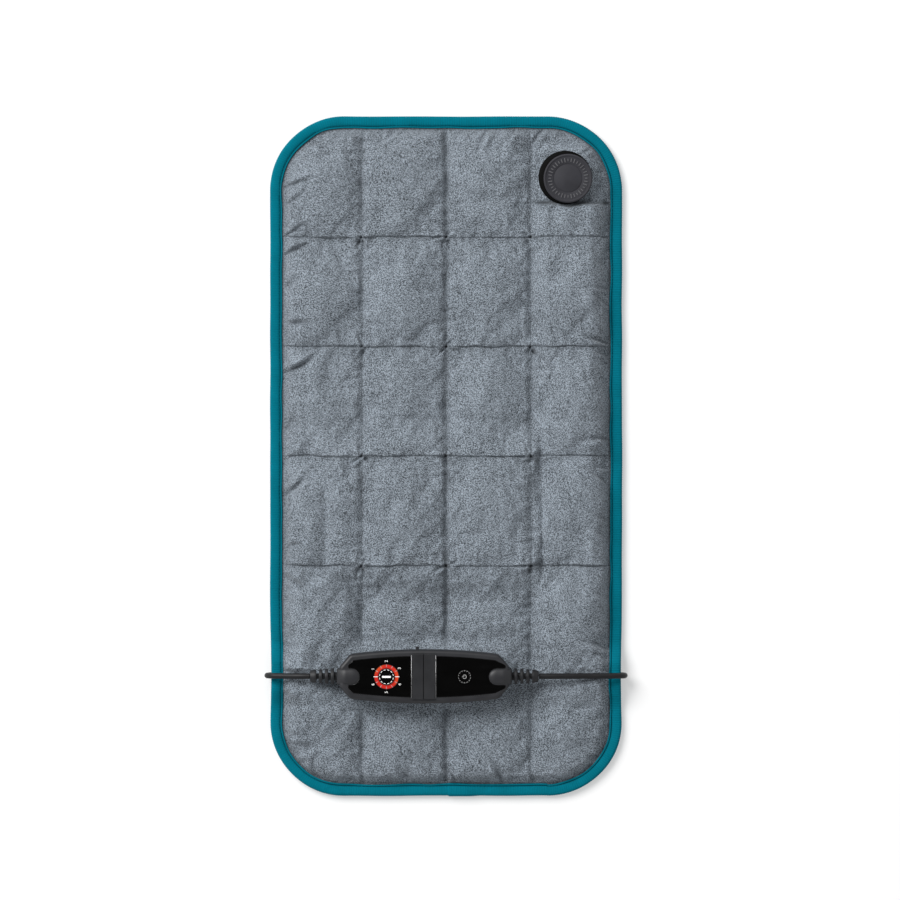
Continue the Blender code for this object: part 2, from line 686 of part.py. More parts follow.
# ---------------------------------------------------------------- the controller
def bow(x):
    """Half the controller's width at a distance along it, from its middle."""
    half = CONTROL_LENGTH / 2
    if abs(x) <= SHOULDER_X:
        share = x / SHOULDER_X
        return (CONTROL_WIDTH - (CONTROL_WIDTH - SHOULDER_WIDTH) * share * share) / 2
    share = (abs(x) - SHOULDER_X) / (half - SHOULDER_X)
    return (SHOULDER_WIDTH + (END_WIDTH - SHOULDER_WIDTH) * share) / 2


def control_outline(inset):
    """The controller's outline, anticlockwise about its middle."""
    half = CONTROL_LENGTH / 2
    stops = [half, (half + SHOULDER_X) / 2, SHOULDER_X, 0.6 * SHOULDER_X, 0.3 * SHOULDER_X, 0.0]
    stops += [-stop for stop in reversed(stops[:-1])]
    upper = []
    for stop in stops:
        across = bow(stop) - inset
        along = stop * (1 - inset / half)
        upper.append((along, across))
    return upper + [(x, -y) for x, y in reversed(upper)]


def prism(name, outline, bottom, top, look=None, centre=(CONTROL_X, CONTROL_Y)):
    """A flat outline raised between two heights."""
    bm = bmesh.new()
    face = bm.faces.new([bm.verts.new((x, y, bottom)) for x, y in outline])
    grown = bmesh.ops.extrude_face_region(bm, geom=[face], use_keep_orig=True)
    for item in grown["geom"]:
        if isinstance(item, bmesh.types.BMVert):
            item.co.z = top
    return link(finish_mesh(bm, name), name, look, (centre[0], centre[1], 0))


def cup(name, bottom, top, opening_up, look):
    """A shell with the controller's outline, open on one side, with a rounded closed side."""
    item = prism(name, control_outline(0), bottom, top, look)
    bm = bmesh.new()
    bm.from_mesh(item.data)
    closed = bottom if opening_up else top
    rim = [edge for edge in bm.edges
           if all(abs(vert.co.z - closed) < 1e-6 for vert in edge.verts)]
    bmesh.ops.bevel(bm, geom=rim, offset=SHELL_ROUND, segments=3, profile=0.5, affect="EDGES")
    bm.to_mesh(item.data)
    bm.free()
    item.data.shade_smooth()
    item.data.set_sharp_from_angle(angle=math.radians(40))
    low = bottom + SHELL_WALL if opening_up else bottom - 0.001
    high = top + 0.001 if opening_up else top - SHELL_WALL - WINDOW_THICKNESS
    cut(item, prism(name + "_hollow", control_outline(SHELL_WALL), low, high))
    return item


def window_outline(inner, outer, grow):
    """A window's outline: bowed edges, and a round notch at the outer end for the nose."""
    side = math.copysign(1.0, outer)
    near, far = min(abs(inner), abs(outer)), max(abs(inner), abs(outer))
    near -= grow
    far += grow
    height = WINDOW_HALF_HEIGHT + grow
    notch = NOSE_RADIUS - grow
    chamfer = 0.0072
    upper = [(near, height), (far - chamfer, height), (far, height - chamfer * 1.1),
             (far, notch)]
    arc = [(NOSE_TIP + notch - notch * math.sin(math.radians(angle)),
            notch * math.cos(math.radians(angle))) for angle in range(0, 181, 30)]
    lower = [(x, -y) for x, y in reversed(upper)]
    outline = [(side * x, y) for x, y in upper + arc + lower]
    return outline if side < 0 else list(reversed(outline))


def make_window(name, span):
    """A glossy panel and the recess for it."""
    top = CONTROL_TOP - 0.0002
    panel = prism(name, window_outline(*span, 0.0), top - WINDOW_THICKNESS, top, BLACK_GLOSS)
    recess = prism(name + "_recess", window_outline(*span, GAP), top - WINDOW_THICKNESS - GAP,
                   CONTROL_TOP + 0.002)
    return panel, recess


def make_shells():
    """The two halves of the controller's case."""
    lower = cup("control_lower_shell", CONTROL_BASE, CONTROL_SPLIT, True, BLACK_MATTE)
    upper = cup("control_upper_shell", CONTROL_SPLIT + GAP, CONTROL_TOP, False, BLACK_MATTE)
    for side in (-1, 1):
        x = CONTROL_X + side * CONTROL_LENGTH / 2
        hole = round_bar(f"cord_hole_{side}", RELIEF_ROOT - 0.0008 + GAP, x - 0.006, x + 0.006,
                         (CONTROL_Y, CORD_EXIT_Z), None, 24)
        cut(lower, hole)
        cut(upper, hole)
    return lower, upper


def round_bar(name, radius, start, end, line, look, sides=16):
    """A cylinder along X between two places, on a line given by its Y and Z."""
    bm = bmesh.new()
    bmesh.ops.create_cone(bm, cap_ends=True, segments=sides, radius1=radius, radius2=radius,
                          depth=end - start)
    item = link(finish_mesh(bm, name), name, look, ((start + end) / 2, *line))
    item.rotation_euler = (0, math.radians(90), 0)
    return item


def make_controls(lower, upper):
    """The windows, the dial, the button and the slide switch with their openings."""
    dial_at = (CONTROL_X + DIAL_OFFSET, CONTROL_Y)
    button_at = (CONTROL_X + BUTTON_OFFSET, CONTROL_Y)
    dial_panel, dial_recess = make_window("dial_window", DIAL_WINDOW)
    button_panel, button_recess = make_window("button_window", BUTTON_WINDOW)
    for recess in (dial_recess, button_recess):
        cut(upper, recess)
    ring_hole = cylinder("ring_hole", RING_OUTER + GAP, CONTROL_SPLIT, CONTROL_TOP + 0.002, dial_at,
                         sides=40)
    button_hole = cylinder("button_hole", BUTTON_RADIUS + GAP, CONTROL_SPLIT, CONTROL_TOP + 0.002,
                           button_at, sides=32)
    cut(dial_panel, ring_hole)
    cut(upper, ring_hole)
    cut(button_panel, button_hole)
    cut(upper, button_hole)

    top = CONTROL_TOP
    lathe("level_ring",
          [(DIAL_RADIUS + GAP, top), (RING_OUTER, top), (RING_OUTER, top - 0.0030),
           (DIAL_RADIUS + GAP, top - 0.0030)], (*dial_at, 0), RED, 40)
    knob = lathe("heat_dial",
                 [(0, top + DIAL_HEIGHT - 0.0030), (DIAL_RADIUS - 0.0004, top + DIAL_HEIGHT - 0.0030),
                  (DIAL_RADIUS, top + DIAL_HEIGHT - 0.0034), (DIAL_RADIUS, top - 0.0042),
                  (0, top - 0.0042)], (*dial_at, 0), BLACK_MATTE, 32)
    pointer = box("pointer_ridge", (0.0086, 0.0026, 0.0012),
                  (*dial_at, top + DIAL_HEIGHT - 0.0030 + 0.0004))
    cut(knob, pointer, "UNION")
    socket = cylinder("dial_socket", SHAFT_RADIUS + GAP, top - 0.0050, top - 0.0018, dial_at,
                      sides=20)
    cut(knob, socket)
    board_top = CONTROL_SPLIT - 0.0010
    lathe("dial_encoder",
          [(0, top - 0.0021), (SHAFT_RADIUS, top - 0.0021), (SHAFT_RADIUS, top - 0.0050),
           (0.0060, top - 0.0050), (0.0060, board_top + GAP), (0, board_top + GAP)],
          (*dial_at, 0), STEEL, 20)
    button_top = top + 0.0004
    lathe("timer_button",
          [(0, button_top), (BUTTON_RADIUS - 0.0005, button_top),
           (BUTTON_RADIUS, button_top - 0.0005), (BUTTON_RADIUS, top - 0.0040),
           (0, top - 0.0040)], (*button_at, 0), BLACK_GLOSS, 32)
    switch_top = top - 0.0040 - BUTTON_TRAVEL - GAP
    box("button_switch", (0.0060, 0.0060, switch_top - board_top - GAP),
        (*button_at, (switch_top + board_top + GAP) / 2), STEEL, 0.0004)
    for number, side in enumerate((-1, 1)):
        box(f"band_bar_{number + 1}", (BAND_BAR_WIDTH, BAND_BAR_LENGTH, BAND_BAR_HEIGHT),
            (CONTROL_X - 0.0005 + side * (BAND_BAR_WIDTH + 0.0006) / 2, CONTROL_Y,
             top + GAP + BAND_BAR_HEIGHT / 2), BLACK_MATTE, 0.0003)
    make_slide(lower, upper)
    make_board(board_top)


def make_slide(lower, upper):
    """The slide switch in the controller's long side, across the split of the shells."""
    side_y = CONTROL_Y + bow(SLIDE_OFFSET)
    x = CONTROL_X + SLIDE_OFFSET
    opening = box("slide_opening", (SLIDE_SLOT + 2 * GAP, 0.010, 0.0060),
                  (x, side_y - 0.001, CORD_EXIT_Z))
    cut(lower, opening)
    cut(upper, opening)
    plate = box("slide_plate", (SLIDE_SLOT, 0.0012, 0.0056), (x, side_y - 0.0010, CORD_EXIT_Z),
                BLACK_SOFT)
    slot = box("slide_slot", (SLIDE_KNOB + SLIDE_TRAVEL + 2 * GAP, 0.006, 0.0026),
               (x, side_y - 0.001, CORD_EXIT_Z))
    cut(plate, slot)
    knob_x = x - SLIDE_TRAVEL / 2
    box("side_slide", (SLIDE_KNOB, SLIDE_PROUD + 0.0028, 0.0020),
        (knob_x, side_y + (SLIDE_PROUD - 0.0028) / 2, CORD_EXIT_Z), BLACK_MATTE, 0.0003)
    box("slide_switch_body", (0.0140, 0.0050, 0.0052),
        (x, side_y - 0.0028 - GAP - 0.0025, CORD_EXIT_Z), STEEL, 0.0003)


def make_board(board_top):
    """The circuit board and what stands on it."""
    bottom = board_top - BOARD_SIZE[2]
    board = box("circuit_board", BOARD_SIZE,
                (CONTROL_X, CONTROL_Y - 0.0010, (bottom + board_top) / 2), GREEN_BOARD)
    spots = [(side * CASE_SCREW_X, y) for y in CASE_SCREW_YS for side in (-1, 1)]
    for number, (x, y) in enumerate(spots):
        place = (CONTROL_X + x, CONTROL_Y + y)
        hole = cylinder(f"case_hole_{number + 1}", 0.0013, CONTROL_BASE - 0.001,
                        CONTROL_BASE + 0.006, place, sides=12)
        sink = cylinder(f"case_sink_{number + 1}", 0.0025, CONTROL_BASE - 0.001,
                        CONTROL_BASE + 0.0014, place, sides=16)
        board_hole = cylinder(f"board_hole_{number + 1}", 0.0014, bottom - 0.001,
                              board_top + 0.001, place, sides=12)
        shell = bpy.data.objects["control_lower_shell"]
        cut(shell, hole)
        cut(shell, sink)
        cut(board, board_hole)
        screw(f"case_screw_{number + 1}", place, CONTROL_BASE + 0.0002, board_top + 0.0040, 0.0010)
    level = board_top + GAP
    box("relay", (0.0150, 0.0100, 0.0070), (CONTROL_X + 0.0100, CONTROL_Y + 0.0050, level + 0.0035),
        BLACK_SOFT, 0.0004)
    cylinder("capacitor", 0.0035, level, level + 0.0078, (CONTROL_X + 0.0110, CONTROL_Y - 0.0090),
             PALE, 20)
    round_bar("fuse", 0.0024, CONTROL_X - 0.0150, CONTROL_X + 0.0020,
              (CONTROL_Y - 0.0105, level + 0.0025), STEEL, 16)


def make_relief(name, side):
    """A tapered, grooved strain relief on one end of the controller."""
    length = RELIEF_LENGTH + RELIEF_INSIDE
    profile = [(0.0, 0.0), (RELIEF_ROOT - 0.0008, 0.0), (RELIEF_ROOT - 0.0008, 0.0044),
               (RELIEF_ROOT, 0.0048)]
    pitch = (length - 0.0080) / RELIEF_GROOVES
    for groove in range(RELIEF_GROOVES):
        start = 0.0070 + pitch * groove
        radius = RELIEF_ROOT + (RELIEF_TIP - RELIEF_ROOT) * start / length
        profile += [(radius, start), (radius - 0.0011, start + 0.0003),
                    (radius - 0.0011, start + 0.0013), (radius - 0.0001, start + 0.0016)]
    profile += [(RELIEF_TIP, length - 0.0008), (RELIEF_TIP - 0.0008, length), (0.0, length)]
    place = (CONTROL_X + side * RELIEF_START, CONTROL_Y, CORD_EXIT_Z)
    turned = [(radius, height) for radius, height in reversed(profile)]
    lathe(name, turned, place, BLACK_SOFT, 20, "X" if side > 0 else "-X")


# ---------------------------------------------------------------- cords, coil and plug
def wrap(side, steps=7):
    """A cord's half turn round the pad's edge, from its upper run to the floor."""
    radius = WRAP_RADIUS
    middle_x = side * (HALF_X + CORD_RADIUS + WRAP_CLEARANCE - radius)
    middle_z = CORD_FLOOR + radius
    for step in range(steps):
        angle = math.pi / 2 - math.pi * step / (steps - 1)
        yield (middle_x + side * radius * math.cos(angle), CONTROL_Y,
               middle_z + radius * math.sin(angle))


def make_cords():
    """The pad lead, and the mains lead with its coil and the tail to its plug."""
    exit_x = RELIEF_START + RELIEF_LENGTH + RELIEF_INSIDE + GAP
    run_x = HALF_X - CORD_MARGIN
    coil_x, coil_y = COIL_CENTRE
    coil_side = coil_y - COIL_OUTER_RADIUS - GAP - CORD_RADIUS
    right = [(CONTROL_X + exit_x, CONTROL_Y, CORD_EXIT_Z),
             (CONTROL_X + exit_x + 0.020, CONTROL_Y, CORD_EXIT_Z - 0.0005),
             (CONTROL_X + exit_x + 0.045, CONTROL_Y, CORD_EXIT_Z - 0.0050), *wrap(1),
             (run_x + 0.0220, CONTROL_Y + 0.0004, CORD_FLOOR),
             (run_x + 0.0090, CONTROL_Y + 0.0060, CORD_FLOOR),
             (run_x, CONTROL_Y + 0.0230, CORD_FLOOR),
             (run_x - 0.0020, CONTROL_Y + 0.0500, CORD_FLOOR),
             (run_x, -0.6 * QUILT_ROW, CORD_FLOOR), (run_x - 0.0050, 0.5 * QUILT_ROW, CORD_FLOOR),
             (run_x - 0.0030, 1.5 * QUILT_ROW, CORD_FLOOR),
             (COUPLING_X, COUPLING_Y - 0.0560, CORD_FLOOR),
             (COUPLING_X, COUPLING_Y - BACK_DISC_RADIUS - COUPLING_RELIEF[1] - 2 * GAP, CORD_FLOOR)]
    left = [(CONTROL_X - exit_x, CONTROL_Y, CORD_EXIT_Z),
            (CONTROL_X - exit_x - 0.009, CONTROL_Y, CORD_EXIT_Z - 0.0010), *wrap(-1),
            (-run_x - 0.0220, CONTROL_Y + 0.0004, CORD_FLOOR),
            (-run_x - 0.0080, CONTROL_Y + 0.0070, CORD_FLOOR),
            (-run_x, CONTROL_Y + 0.0240, CORD_FLOOR),
            (-run_x + 0.0020, CONTROL_Y + 0.0500, CORD_FLOOR),
            (-run_x + 0.0050, coil_y - 0.0668, CORD_FLOOR),
            (coil_x - 0.0588, coil_y - 0.0448, CORD_FLOOR),
            (coil_x - 0.0388, coil_side + 0.0038, CORD_FLOOR),
            (coil_x - 0.0200, coil_side, CORD_FLOOR)]
    tube("pad_lead", smooth_route(right, 66), CORD_RADIUS, BLACK_SOFT)
    tube("mains_lead", smooth_route(left, 46), CORD_RADIUS, BLACK_SOFT)
    bottom = 0.0001
    top = bottom + COIL_HEIGHT
    edge = COIL_EDGE
    lathe("mains_coil",
          [(COIL_INNER_RADIUS, top - edge), (COIL_INNER_RADIUS + edge, top),
           (COIL_OUTER_RADIUS - edge, top), (COIL_OUTER_RADIUS, top - edge),
           (COIL_OUTER_RADIUS, bottom + edge), (COIL_OUTER_RADIUS - edge, bottom),
           (COIL_INNER_RADIUS + edge, bottom), (COIL_INNER_RADIUS, bottom + edge)],
          (*COIL_CENTRE, 0), BLACK_SOFT, 40)
    plug_x, plug_y = PLUG_CENTRE
    tail = [(coil_x + 0.0200, coil_side, CORD_FLOOR),
            (coil_x + 0.0432, coil_side + 0.0033, CORD_FLOOR),
            (plug_x - 0.0150, plug_y - 0.0520, CORD_FLOOR),
            (plug_x - 0.0035, plug_y - 0.0440, CORD_FLOOR + 0.0005),
            (plug_x - 0.0003, plug_y - 0.0380, CORD_FLOOR + 0.0020),
            (plug_x, plug_y - PLUG_SIZE[1] / 2 - PLUG_RELIEF_SIZE[1] - 2 * GAP, 0.0001 + PLUG_SIZE[2] / 2)]
    tube("mains_tail", smooth_route(tail, 12), CORD_RADIUS, BLACK_SOFT)


def make_plug():
    """The mains plug, its relief and its two blades."""
    x, y = PLUG_CENTRE
    width, length, height = PLUG_SIZE
    middle = 0.0001 + height / 2
    body = box("plug_body", PLUG_SIZE, (x, y, middle), BLACK_SOFT, 0.0020)
    box("plug_relief", PLUG_RELIEF_SIZE,
        (x, y - length / 2 - PLUG_RELIEF_SIZE[1] / 2 - GAP, middle), BLACK_SOFT, 0.0015)
    for number, side in enumerate((-1, 1)):
        blade_x = x + side * BLADE_SPACING / 2
        hole = box(f"blade_hole_{number + 1}",
                   (BLADE_SIZE[2] + 2 * GAP, 0.0124, BLADE_SIZE[0] + 2 * GAP),
                   (blade_x, y + length / 2 - 0.0056, middle))
        cut(body, hole)
        box(f"plug_blade_{number + 1}",
            (BLADE_SIZE[2], BLADE_SIZE[1] + 0.0110, BLADE_SIZE[0]),
            (blade_x, y + length / 2 + (BLADE_SIZE[1] - 0.0110) / 2, middle), BRASS, 0.0002)


make_layers()
make_binding()
make_wire()
make_coupling()
make_controls(*make_shells())
make_relief("left_strain_relief", -1)
make_relief("right_strain_relief", 1)
make_cords()
make_plug()
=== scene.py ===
"""The looks of a quilted heating pad: plush covers, woven binding, coupling, controller, leads.

Metres, +Z up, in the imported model's own frame: the pad lies on z = 0 with its middle at the origin.
"""

import math

import bmesh
import bpy
import numpy as np
from mathutils import Matrix, Vector


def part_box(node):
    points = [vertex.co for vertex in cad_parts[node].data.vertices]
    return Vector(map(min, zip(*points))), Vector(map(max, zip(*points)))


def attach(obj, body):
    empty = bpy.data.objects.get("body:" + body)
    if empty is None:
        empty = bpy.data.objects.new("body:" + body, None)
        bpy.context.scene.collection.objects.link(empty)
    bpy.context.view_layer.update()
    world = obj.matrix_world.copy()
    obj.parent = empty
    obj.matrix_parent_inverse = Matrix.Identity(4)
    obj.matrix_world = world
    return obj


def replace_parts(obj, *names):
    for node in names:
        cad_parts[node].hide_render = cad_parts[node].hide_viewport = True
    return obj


bl_info = {
    "name": "Quilted Heating Pad",
    "version": (1, 0, 0),
    "blender": (4, 5, 0),
    "location": "View3D > Sidebar > Heating Pad",
    "description": "Builds the plush pad, its binding, coupling, controller and leads",
    "category": "Mesh",
}

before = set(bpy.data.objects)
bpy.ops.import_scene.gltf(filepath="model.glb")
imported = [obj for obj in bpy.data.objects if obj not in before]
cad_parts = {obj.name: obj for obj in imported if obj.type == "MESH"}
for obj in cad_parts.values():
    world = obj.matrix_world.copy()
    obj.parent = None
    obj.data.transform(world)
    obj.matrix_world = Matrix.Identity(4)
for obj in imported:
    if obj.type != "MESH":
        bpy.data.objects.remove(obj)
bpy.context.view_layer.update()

# ---------------------------------------------------------------- the pad's plan
PAD_LOW, PAD_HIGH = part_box("edge_binding")
HALF_X = (PAD_HIGH[0] - PAD_LOW[0]) / 2
HALF_Y = (PAD_HIGH[1] - PAD_LOW[1]) / 2
CORNER_RADIUS = 0.066
ARC_X = HALF_X - CORNER_RADIUS
ARC_Y = HALF_Y - CORNER_RADIUS
QUILT_COLUMN = 0.0744
QUILT_ROW = 0.0965
SEAM_ROWS = (-2, -1, 0, 1, 2)
SEAM_COLUMNS = (-1, 0, 1)
POCKET_EDGE_Y = 0.223
POCKET_HEIGHT = 0.0100
CORD_LIFT = 0.0068            # how far a lead, and the coil, hold the pad's underside up
COIL_LIFT = 0.0115
CONTROL_REST = 0.0190         # the cover's height under the controller
HOP_HALF = 0.010              # the edge steps over a lead within this distance
EDGE_PINCH = 0.0011           # how far a lead pulls the edge in
CHANNEL_OUTER = HALF_X - 0.0295    # the strip at each side that a lead lifts
CHANNEL_INNER = CHANNEL_OUTER - 0.0350
COVER_INSET = 0.0030
COVER_THICKNESS = 0.0012
CLOTH_FRAMES = 22
CLOTH_GROWTH = 0.035          # how much larger the cover's cloth is than its cells
PUFF_LIMIT = 0.0050           # how far the cloth may move from its drawn shape
PUFF_REACH = 0.020            # how far from a seam the filling is drawn down
TUCKED_HEIGHT = 0.0052        # the top cover's height where it goes under the tape
TAPE_CLEAR = 0.0112           # how far in from the outline the tape hides the covers
TAPE_HALF = 0.0037            # half the folded tape's height
STEM_RADIUS = 0.0123          # the hole in the back cover for the coupling's stem

CONTROL_LOW, CONTROL_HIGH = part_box("control_upper_shell")
CONTROL_X = (CONTROL_LOW[0] + CONTROL_HIGH[0]) / 2
CONTROL_Y = (CONTROL_LOW[1] + CONTROL_HIGH[1]) / 2
CONTROL_LENGTH = CONTROL_HIGH[0] - CONTROL_LOW[0]
CONTROL_WIDTH = CONTROL_HIGH[1] - CONTROL_LOW[1]
CONTROL_TOP = CONTROL_HIGH[2]
CONTROL_SPLIT = CONTROL_LOW[2]
CONTROL_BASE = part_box("control_lower_shell")[0][2]

CAP_LOW, CAP_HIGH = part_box("coupling_cap")
COUPLING_X = (CAP_LOW[0] + CAP_HIGH[0]) / 2
COUPLING_Y = (CAP_LOW[1] + CAP_HIGH[1]) / 2
FLANGE_LOW, FLANGE_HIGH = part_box("coupling_base")
FLANGE_RADIUS = (FLANGE_HIGH[0] - FLANGE_LOW[0]) / 2
FLANGE_BASE = CORD_LIFT + POCKET_HEIGHT + 0.0003
CAP_PLACE = (COUPLING_X - 0.0009, COUPLING_Y - 0.0019)      # the lid sits askew on its skirt
SKIRT_PLACE = (COUPLING_X - 0.0032, COUPLING_Y - 0.0008)
COUPLING_TICKS = 36

DIAL_LOW, DIAL_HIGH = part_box("heat_dial")
DIAL_X = (DIAL_LOW[0] + DIAL_HIGH[0]) / 2
BUTTON_LOW, BUTTON_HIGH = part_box("timer_button")
BUTTON_X = (BUTTON_LOW[0] + BUTTON_HIGH[0]) / 2

CORD_RADIUS = 0.0025
CORD_FLOOR = CORD_RADIUS + 0.0003
EXIT_Z = CONTROL_SPLIT - 0.00015
RELIEF_REACH = CONTROL_LENGTH / 2 + 0.0260
COIL_CENTRE = (-QUILT_COLUMN / 2, -QUILT_ROW / 2)
RUN_X = HALF_X - 0.0445        # where the leads run under the pad
COIL_RADII = (0.0179, 0.0383)
COIL_TURNS = 5


# ---------------------------------------------------------------- settings
def colour_setting(name, description, default):
    return bpy.props.FloatVectorProperty(name=name, description=description, default=default,
                                         subtype="COLOR", size=3, min=0.0, max=1.0)


def length_setting(name, description, default):
    return bpy.props.FloatProperty(name=name, description=description, default=default,
                                   unit="LENGTH")


class PadSettings(bpy.types.PropertyGroup):
    """Sizes and colours of the pad."""

    plush_colour: colour_setting("Plush colour", "Colour of the plush covers", (0.142, 0.163, 0.186))
    binding_colour: colour_setting("Binding colour", "Colour of the woven edge tape",
                                   (0.0006, 0.121, 0.168))
    seam_height: length_setting("Seam height", "Height of the top cover along its seams", 0.0118)
    crest_height: length_setting("Crest height", "Height of the top cover in the middle of a cell",
                                 0.0166)
    binding_width: length_setting("Binding width", "Width of the tape on each face", 0.0106)
    rib_pitch: length_setting("Rib pitch", "Distance between the tape's ribs", 0.0021)
    stitch_pitch: length_setting("Stitch pitch", "Distance between stitches", 0.0036)


class ControllerSettings(bpy.types.PropertyGroup):
    """Colours and marks of the controller."""

    case_colour: colour_setting("Case colour", "Colour of the moulded case", (0.0162, 0.0167, 0.0190))
    ring_colour: colour_setting("Ring colour", "Colour of the ring round the dial",
                                (0.50, 0.012, 0.005))
    levels: bpy.props.IntProperty(
        name="Heat levels", description="Numbers printed round the dial", default=6, min=2, max=9)


class CordSettings(bpy.types.PropertyGroup):
    """Sizes of the leads."""

    radius: length_setting("Lead radius", "Half of a lead's diameter", CORD_RADIUS)


class StageSettings(bpy.types.PropertyGroup):
    """The floor, the light and the camera."""

    camera_height: length_setting("Camera height", "Height of the camera over the pad", 5.0)
    view_width: length_setting("View width", "Width of what the camera sees at the pad", 0.7935)
    key_power: bpy.props.FloatProperty(
        name="Key power", description="Power of the key light in watts", default=270.0)
    sky: bpy.props.FloatProperty(
        name="Sky strength", description="Strength of the soft light from all round", default=0.72)


SETTINGS = {"pad_looks": PadSettings, "controller_looks": ControllerSettings,
            "cord_looks": CordSettings, "stage_looks": StageSettings}


# ---------------------------------------------------------------- materials
class Signal:
    """A shader socket that can be used in sums and products."""

    def __init__(self, look, socket):
        self.look = look
        self.socket = socket

    def _math(self, operation, *values):
        return self.look.node("ShaderNodeMath", {"operation": operation},
                              dict(enumerate(values)))

    def __add__(self, other):
        return self._math("ADD", self, other)

    __radd__ = __add__

    def __sub__(self, other):
        return self._math("SUBTRACT", self, other)

    def __rsub__(self, other):
        return self._math("SUBTRACT", other, self)

    def __mul__(self, other):
        return self._math("MULTIPLY", self, other)

    __rmul__ = __mul__

    def clamp(self):
        return self.look.node("ShaderNodeClamp", {}, {"Value": self})


class Look:
    """A procedural material: a Principled shader with nodes that vary it."""

    def __init__(self, name, colour, roughness, metallic=0.0, **constants):
        self.colour = colour
        self.material = bpy.data.materials.new(name)
        self.material.use_nodes = True
        self.material.diffuse_color = (*colour, 1.0)
        self.tree = self.material.node_tree
        self.shader = self.tree.nodes["Principled BSDF"]
        self.set("Base Color", colour)
        self.set("Roughness", roughness)
        self.set("Metallic", metallic)
        for key, value in constants.items():
            self.set(key.replace("_", " "), value)

    def put(self, socket, value):
        """Link a signal to a socket, or set a plain value."""
        if isinstance(value, Signal):
            self.tree.links.new(value.socket, socket)
        elif hasattr(socket, "default_value") and hasattr(socket.default_value, "__len__"):
            filled = (*value, 1.0) if len(value) < len(socket.default_value) else value
            socket.default_value = filled
        else:
            socket.default_value = value

    def set(self, name, value):
        self.put(self.shader.inputs[name], value)

    def node(self, kind, settings, inputs, output=0):
        """Add a node, set it up, and return one of its outputs."""
        made = self.tree.nodes.new(kind)
        for key, value in settings.items():
            setattr(made, key, value)
        for key, value in inputs.items():
            self.put(made.inputs[key], value)
        return Signal(self, made.outputs[output])

    def where(self):
        """The place on the piece, in metres."""
        return self.node("ShaderNodeTexCoord", {}, {}, "Object")

    def noise(self, scale, detail=2.0, vector=None, roughness=0.5):
        """Noise with features of about 1 / scale metres."""
        return self.node("ShaderNodeTexNoise", {},
                         {"Vector": vector or self.where(), "Scale": scale, "Detail": detail,
                          "Roughness": roughness})

    def stretched(self, x, y, z):
        """The place with each axis scaled, so that noise is drawn out."""
        return self.node("ShaderNodeVectorMath", {"operation": "MULTIPLY"},
                         {0: self.where(), 1: (x, y, z)})

    def attribute(self, name):
        return self.node("ShaderNodeAttribute", {"attribute_name": name}, {}, "Fac")

    def blend(self, factor, first, second):
        """Mix two colours."""
        return self.node("ShaderNodeMix", {"data_type": "RGBA"},
                         {"Factor": factor, 6: first, 7: second}, 2)

    def tones(self, signal, dark, light):
        """Mix a darker and a lighter tone of the look's own colour."""
        return self.blend(signal, scaled(self.colour, dark), scaled(self.colour, light))

    def span(self, signal, low, high, to_low=0.0, to_high=1.0):
        """Stretch a signal's range to another one."""
        return self.node("ShaderNodeMapRange", {},
                         {"Value": signal, "From Min": low, "From Max": high, "To Min": to_low,
                          "To Max": to_high})

    def bump(self, height, distance, strength):
        return self.node("ShaderNodeBump", {},
                         {"Height": height, "Distance": distance, "Strength": strength})


def scaled(colour, factor):
    """A colour made darker or lighter."""
    return tuple(min(1.0, part * factor) for part in colour)


def plush_look(colour):
    """Short mottled pile with a nap that catches the light in patches, and painted shade along its
    seams.
    """
    look = Look("plush", colour, 0.95, Sheen_Weight=0.12, Sheen_Roughness=0.5,
                Specular_IOR_Level=0.05)
    grain = look.noise(1800.0, 1.0, roughness=0.7)
    tufts = look.noise(1150.0, 0.0)
    nap = look.noise(75.0, 3.0, look.stretched(1.0, 0.6, 1.0))
    patches = look.noise(20.0, 2.0)
    speckle = look.span(grain * 0.4 + tufts * 0.6, 0.39, 0.61)
    shade = speckle * 0.82 + look.span(nap, 0.35, 0.65) * 0.10 + look.span(patches, 0.3, 0.7) * 0.08
    colours = look.tones(shade, 0.16, 1.98)
    # painted shade: the seam attribute darkens the pile in its seams and creases, along the binding and
    # on the pocket's seam
    look.set("Base Color", look.blend(look.attribute("seam") * 0.6, colours, scaled(colour, 0.28)))
    look.set("Normal", look.bump(grain * 0.4 + tufts, 0.0010, 0.6))
    return look.material


def binding_look(colour):
    """Woven tape: ribs across it and a fine weave, with painted shade in its sewn groove."""
    look = Look("woven_binding", colour, 0.85, Specular_IOR_Level=0.03)
    along = look.attribute("along")
    rib = look.node("ShaderNodeMath", {"operation": "SINE"}, {0: along * (2 * math.pi)}) * 0.5 + 0.5
    weave = look.noise(1300.0, 2.0)
    worn = look.noise(70.0, 3.0)
    shade = rib * 0.30 + look.span(weave, 0.3, 0.7) * 0.36 + look.span(worn, 0.3, 0.7) * 0.34
    colours = look.tones(shade, 0.76, 1.22)
    # painted shade: the groove attribute darkens the sewn groove and the tape's inner faces
    look.set("Base Color", look.blend(look.attribute("groove") * 0.8, colours, scaled(colour, 0.30)))
    look.set("Normal", look.bump(rib * 0.7 + weave * 0.5, 0.0003, 0.6))
    return look.material


def thread_look(name, colour):
    """Twisted sewing thread."""
    look = Look(name, colour, 0.7, Specular_IOR_Level=0.1)
    twist = look.noise(2600.0, 1.0)
    look.set("Base Color", look.tones(look.span(twist, 0.35, 0.65), 0.65, 1.25))
    look.set("Normal", look.bump(twist, 0.0001, 0.5))
    return look.material


def moulded_look(name, colour, roughness, grain=1800.0, depth=0.00006, shine=0.3):
    """Moulded plastic with a fine spark-eroded texture and slight wear."""
    look = Look(name, colour, roughness, Specular_IOR_Level=shine)
    texture = look.noise(grain, 2.0)
    wear = look.noise(70.0, 3.0)
    look.set("Base Color", look.tones(look.span(wear, 0.3, 0.7), 0.88, 1.14))
    look.set("Roughness", look.span(wear, 0.3, 0.7, roughness - 0.06, roughness + 0.07))
    look.set("Normal", look.bump(texture, depth, 0.5))
    return look.material


